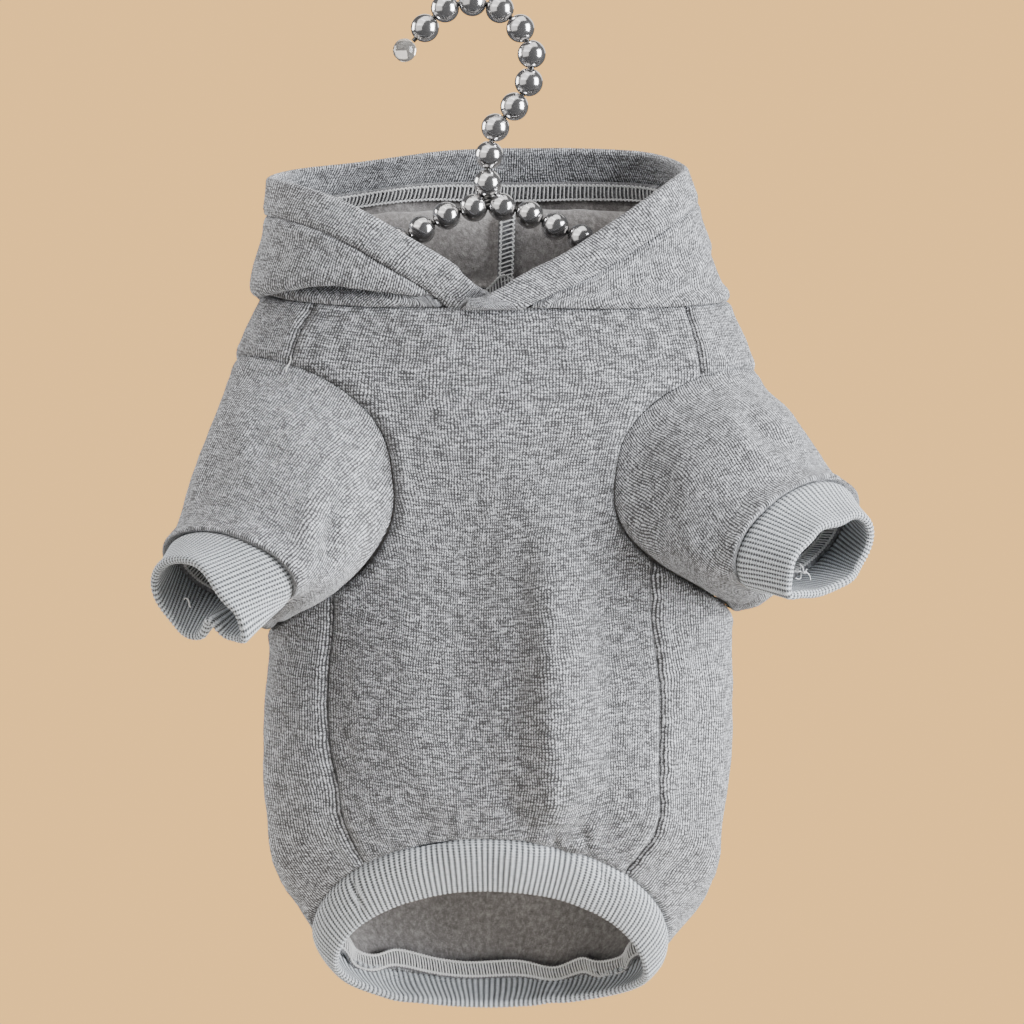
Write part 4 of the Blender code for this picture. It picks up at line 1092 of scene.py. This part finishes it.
def threadBeads(name, line, places, node):
    path, whole = lineThrough(line, 800)
    reach = np.linspace(0, whole, len(path))
    pattern = drilledBead(name + "_pattern", hanger["beadSize"])
    copies = []
    for number, place in enumerate(places):
        x, z = readAlong(path, reach, place)
        ahead = readAlong(path, reach, place + 1) - readAlong(path, reach, place - 1)
        lean = Matrix.Rotation(math.atan2(ahead[0], ahead[1]), 4, "Y")
        spin = Matrix.Rotation(number * 2.4, 4, "Z")
        copy = pattern.copy()
        copy.data = pattern.data.copy()
        bpy.context.collection.objects.link(copy)
        copy.data.transform(Matrix.Translation((x * mm, 0, z * mm)) @ lean @ spin)
        copies.append(copy)
    bpy.data.objects.remove(pattern)
    bpy.ops.object.select_all(action="DESELECT")
    for copy in copies:
        copy.select_set(True)
    bpy.context.view_layer.objects.active = copies[0]
    bpy.ops.object.join()
    piece = bpy.context.object
    piece.name = piece.data.name = name
    dressPiece(piece, (finishes["pearl"],), node)


def addStrand(name, paths, radius, finish, roundness=1, order="POLY"):  # threads and wires
    bpy.ops.object.select_all(action="DESELECT")
    bpy.ops.curve.primitive_nurbs_path_add()
    strand = bpy.context.object
    strand.name = name
    curve = strand.data
    curve.splines.clear()
    for path in paths:
        spline = curve.splines.new(order)
        spline.points.add(len(path) - 1)
        weighted = np.concatenate((np.asarray(path) * mm, np.ones((len(path), 1))), 1)
        spline.points.foreach_set("co", weighted.ravel())
        if order == "NURBS":
            spline.use_endpoint_u = True
            spline.order_u = 3
            spline.resolution_u = 2
    curve.dimensions = "3D"
    curve.bevel_depth = radius * mm
    curve.bevel_resolution = roundness
    curve.use_fill_caps = True
    bpy.ops.object.convert(target="MESH")
    piece = bpy.context.object
    bpy.ops.object.shade_smooth()
    piece.data.materials.clear()
    return dressPiece(piece, (finish,))


hookPath, hookLength = lineThrough(hanger["hook"], 160)
armPath, armLength = lineThrough(hanger["arms"], 120)
pitch = hanger["pitch"]
threadBeads("hook_beads", hanger["hook"],
            [hookLength - hanger["neckBead"] - i * pitch for i in range(hanger["hookBeads"])], "hanger_hook")
threadBeads("arm_beads", hanger["arms"],
            [armLength / 2 + (i - hanger["armBeads"] + 0.5) * pitch for i in range(2 * hanger["armBeads"])],
            "hanger_arms")
tip = drilledBead("clear_tip_bead", hanger["tipSize"])
path, _ = lineThrough(hanger["hook"], 100)
outwards = unit(path[0] - path[1])
centre = path[0] + outwards * (hanger["tipSize"] / 2 + 0.3)
tip.data.transform(Matrix.Translation((centre[0] * mm, 0, centre[1] * mm))
                   @ Matrix.Rotation(math.atan2(outwards[0], outwards[1]), 4, "Y"))
dressPiece(tip, (finishes["clear"],), "hook_tip_bead")

t, wrap = np.linspace(0, 1, 90), hanger["wrap"]
wound = np.stack((wrap["radius"] * np.cos(t * wrap["turns"]) + wrap["x"],
                  wrap["radius"] * np.sin(t * wrap["turns"]), wrap["z"] + wrap["rise"] * t), -1)
wires = [np.stack((line[:, 0], np.zeros(len(line)), line[:, 1]), -1) for line in (hookPath, armPath)]
addStrand("hanger_wire", [*wires, wound], hanger["wire"], finishes["wire"], 2)
print("beads are threaded")

overlock = {  # each seam has its seam line and its cut edge, how far apart the loops lie, and where it runs
    "thread": 0.27, "perLoop": 8, "slant": 9, "lift": 0.3, "sink": 0.1, "swing": 0.3, "chainLift": 0.15,
    "strip": 1.2, "stripColumns": 240, "tail": 0.216,
    "hoodEdge": {"seam": (13.4, 2.9), "edge": (19.4, 2.3), "pitch": 1.45,  # below the rim, and off the cloth
                 "stations": {"left": (24, 180), "right": (180, 22)}, "middle": (0.0, 2.0, 0.0)},
    "hoodCentre": {"across": (-0.2, 4.6), "lean": 1.8, "off": 2.2, "start": 2.0, "end": 19.5, "pitch": 1.6},
    "neck": {"angles": (62, 298), "seam": (2.2, -5.5), "edge": (3.4, -1.5), "pitch": 1.3,  # inwards, and up
             "bunch": (6.5, 6.5, 5.5)},
    "hem": {"inside": 2.9, "seam": (0.0, 0.2), "edge": (0.5, 5.7), "edgeDip": 1.3, "pitch": 1.05,
            "dips": ((-3.0, 24, 9), (0.8, -31, 8), (-0.7, -8, 12))},  # height, place and width, as in bunch
    "cuff": {"inside": 2.1, "seam": 0.8, "edge": (1.6, 4.8), "pitch": 1.1},
    "tails": (  # thread ends lie where they were snipped: start, and the way they curl
        ((106.0, -47.0, -190.0), (3.2, -0.6, -4.6)), ((108.5, -46.0, -191.5), (-3.6, -0.8, -3.4)),
        ((104.6, -47.5, -192.4), (4.2, 0.4, -0.4)), ((-100.5, -47.5, -204.5), (-1.6, -0.4, 3.4)),
    ),
    "shoulderTail": (0.095, 0.125),  # and one more lies along the left shoulder seam
}


def evenly(curve, count):  # points at even steps along a curve
    reach = lengthsAlong(curve, 0)
    return readAlong(curve, reach, np.linspace(0, reach[-1], count))


def addStrip(name, seam, edge, off):  # the two cut edges that the loops bind
    thickness = overlock["strip"]
    seamLine, edgeLine, offLine = (evenly(curve, overlock["stripColumns"]) for curve in (seam, edge, off))
    offLine = unit(offLine)
    share = np.linspace(-0.12, 1.0, 6)[:, None, None]
    sag = np.array([noise.noise(Vector(point) / 9.0) for point in edgeLine])[:, None] * 0.5
    points = seamLine * (1 - share) + edgeLine * share - offLine * (thickness / 2 + 0.3)
    points = points[::-1] - offLine * np.abs(sag) * share[::-1]
    flat = flatPlaces(points)
    if (clothNormals(points, False) * offLine).sum() < 0:
        points, flat = points[:, ::-1], flat[:, ::-1]
    piece = dressPiece(meshFromGrid(name, points, flat), (finishes["edge"],))
    return applied(piece, "SOLIDIFY", thickness=thickness * mm, offset=0.0, use_rim=True)


def addOverlock(name, seam, edge, off, sheet, pitch):
    # Slanting bars between the seam line and the cut edge, with a chain along either side
    strip = addStrip(name + "_edge", seam, edge, off)
    perLoop, lift, sink, swing = (overlock[key] for key in ("perLoop", "lift", "sink", "swing"))
    count = int(lengthsAlong(seam, 0)[-1] / pitch)
    last = perLoop * count
    seamLine, edgeLine, offLine = (evenly(curve, last + 1) for curve in (seam, edge, off))
    offLine = unit(offLine)
    bars = []
    for i in range(count - 1):
        low, high = perLoop * i + i % 2, perLoop * i + overlock["slant"]
        start, end, out = seamLine[low], edgeLine[min(high, last)], offLine[low]
        bars.append((start - out * sink, start * 0.75 + end * 0.25 + out * lift,
                     start * 0.3 + end * 0.7 + out * lift, end - out * sink))
    wave = np.sin(np.arange(last + 1) * 2 * np.pi / perLoop)[:, None]
    across = unit(edgeLine - seamLine)
    chain = edgeLine + across * wave * swing + offLine * overlock["chainLift"]
    needle = seamLine + across * (swing - swing * wave) + offLine * overlock["chainLift"]
    threads = addStrand(name, [*bars, chain, needle], overlock["thread"], finishes["thread"])
    trimmings[sheet] = (strip, threads)


def hoodInside(belowRim, off):  # a line inside the hood, this far below the rim, and the way to the middle
    lines, outs = [], []
    for side, ends in overlock["hoodEdge"]["stations"].items():
        for station in np.linspace(*ends, 90):
            points, lengths = hoodProfile(side, station)
            at = max(lengths[-1] - belowRim, 1.0)
            lines.append(readAlong(points, lengths, at))
            outs.append(lines[-1] - readAlong(points, lengths, at - 0.5))
    lines = np.array(lines)
    inwards = unit(np.cross(unit(np.array(outs)), np.gradient(lines, axis=0)))
    toMiddle = (np.array(overlock["hoodEdge"]["middle"]) - lines) * level
    inwards *= np.sign((inwards * toMiddle).sum(1))[:, None]
    return lines + inwards * off, inwards


look = overlock["hoodEdge"]
seam, inwards = hoodInside(*look["seam"])
edge, _ = hoodInside(*look["edge"])
addOverlock("hood_edge_overlock", seam, edge, inwards, "hood_edge_band", look["pitch"])

look = overlock["hoodCentre"]
points, lengths = hoodProfile("left", 180)
line = readAlong(points, lengths, np.linspace(look["start"], lengths[-1] - look["end"], 80))
seam, edge = (line + np.stack((np.linspace(across, across - look["lean"], 80), np.full(80, -look["off"]),
                               np.zeros(80)), -1) for across in look["across"])
forwards = np.tile((0.0, -1.0, 0.0), (80, 1))
addOverlock("hood_centre_overlock", seam, edge, forwards, "hood_right_cloth", look["pitch"])

look = overlock["neck"]
neckRing = bodyPoint(np.linspace(*look["angles"], 160), 0.0)
toMiddle = unit(-neckRing * level)
height, place, width = look["bunch"]  # the edges stand up where the centre seam meets the neck
bunch = (height * np.exp(-((neckRing[:, 0] - place) / width) ** 2))[:, None] * upright
seam, edge = (neckRing + toMiddle * aside + upright * up for aside, up in (look["seam"], look["edge"]))
addOverlock("neck_overlock", seam, edge + bunch, toMiddle, "hood_left_cloth", look["pitch"])

look = overlock["hem"]
hemInner = (hemMiddle - clothNormals(hemMiddle, True) * look["inside"])[0]
hemInner = np.concatenate((hemInner, hemInner[:1]))
toMiddle = unit(-hemInner * level)
dip = sum(height * np.exp(-((hemInner[:, 0] - place) / width) ** 2) for height, place, width in look["dips"])
dip = (np.clip(hemInner[:, 1] / 10, 0, 1) * dip)[:, None] * upright  # behind alone
seam, edge = (hemInner + toMiddle * aside + upright * up for aside, up in (look["seam"], look["edge"]))
addOverlock("hem_overlock", seam + dip, edge + dip * look["edgeDip"], toMiddle, "hem_rib_band", look["pitch"])

look = overlock["cuff"]
edgeAside, edgeDepth = look["edge"]
for side in sides:
    inner = (cuffMiddles[side] - clothNormals(cuffMiddles[side], True) * look["inside"])[0]
    ring = np.concatenate((inner, inner[:1]))
    toMiddle = unit(np.array(sleeves[side]["end"]) - ring)
    edge = ring - unit(np.array(sleeves[side]["axis"])) * edgeDepth + toMiddle * edgeAside
    seam = ring + toMiddle * look["seam"]
    addOverlock(f"{side}_cuff_overlock", seam, edge, toMiddle, f"{side}_rib_cuff", look["pitch"])

tails = []
t = np.linspace(0, 1, 22)
for number, (start, way) in enumerate(overlock["tails"]):
    curl = np.stack((np.sin(t * 9 + number), np.cos(t * 7 + number), np.sin(t * 11 + 2 * number)), -1)
    tails.append(np.array(start) + np.outer(t, way) + curl * 0.7 * t[:, None])
drops = np.linspace(*overlock["shoulderTail"], 12)
waves = np.stack((np.sin(np.linspace(0, 6, 12)) * 0.5 - 0.6, np.full(12, -1.0), np.zeros(12)), -1)
tails.append(bodyPoint(seamAngle("left", drops), drops) + waves)
addStrand("loose_thread_ends", tails, overlock["tail"], finishes["thread"], order="NURBS")

print("inside seams are overlocked")

studio = {
    "camera": (0.0084, -1.5, -0.1722), "lens": 150.67, "aim": (0.0, 0.0, -0.18),
    "floor": {"place": (0, -0.12, -0.42), "radius": 0.62},
    "window": {"place": (1.50, -0.62, 0.10), "size": (0.9, 1.4), "power": 90.0, "colour": (0.96, 0.98, 1.0)},
    "left": {"place": (-0.80, -0.85, 1.00), "size": (1.6, 1.5), "power": 17.0, "colour": (1.0, 0.98, 0.95)},
    "top": {"place": (0.1, -0.15, 1.15), "size": (1.2, 1.0), "power": 9.0, "colour": (1.0, 0.99, 0.97)},
    "behind": {"place": (0.3, 1.1, 0.5), "size": (1.2, 0.8), "power": 4.0, "colour": (1.0, 0.97, 0.93)},
    "side": {"place": (-1.45, 0.55, 0.25), "size": (0.8, 0.9), "power": 22.0, "colour": (1.0, 0.98, 0.95)},
    "room": {"place": (-1.25, -0.95, 0.10), "size": (1.7, 1.5), "power": 11.0, "colour": (1.0, 0.97, 0.93)},
    "air": (0.80, 0.80, 0.82), "backdrop": (1.60, 0.90, 0.285), "airPower": 0.165,
}
for name in ("window", "left", "top", "behind", "side", "room"):
    lamp = studio[name]
    bpy.ops.object.light_add(type="AREA", location=lamp["place"])
    light = bpy.context.object
    light.name = name + "_light"
    light.data.shape, light.data.size, light.data.size_y = "RECTANGLE", *lamp["size"]
    light.data.energy, light.data.color = lamp["power"], lamp["colour"]
    light.rotation_euler = (Vector(studio["aim"]) - light.location).to_track_quat("-Z", "Y").to_euler()
    light.visible_diffuse = name != "room"  # the pale room is seen in the beads alone

world = bpy.data.worlds.new("studio air")
bpy.context.scene.world = world
world.use_nodes = True
air = Nodes(world.node_tree)
glow = air.tree.nodes["Background"]
air.feed(glow, {"Color": studio["air"], "Strength": studio["airPower"]})
backdrop = air.node("ShaderNodeBackground", {}, {"Color": studio["backdrop"]})
seen = air.node("ShaderNodeLightPath")  # 1 where the camera looks past the hoodie, straight at the air
mixed = air.node("ShaderNodeMixShader", {}, {0: seen, 1: Reading(air.tree, glow.outputs[0]), 2: backdrop})
air.feed(air.tree.nodes["World Output"], {"Surface": mixed})

bpy.ops.object.select_all(action="DESELECT")
bpy.ops.mesh.primitive_circle_add(vertices=96, radius=studio["floor"]["radius"], fill_type="NGON",
                                  location=studio["floor"]["place"])
floor = bpy.context.object
floor.name = "studio_floor"
floor.data.materials.append(finishes["floor"])
floor.visible_glossy = False  # the beads hang over open air

bpy.ops.object.camera_add(location=studio["camera"], rotation=(math.pi / 2, 0, 0))
camera = bpy.context.object
camera.data.lens, camera.data.sensor_width = studio["lens"], 36.0
bpy.context.scene.camera = camera

print("light and camera are set")
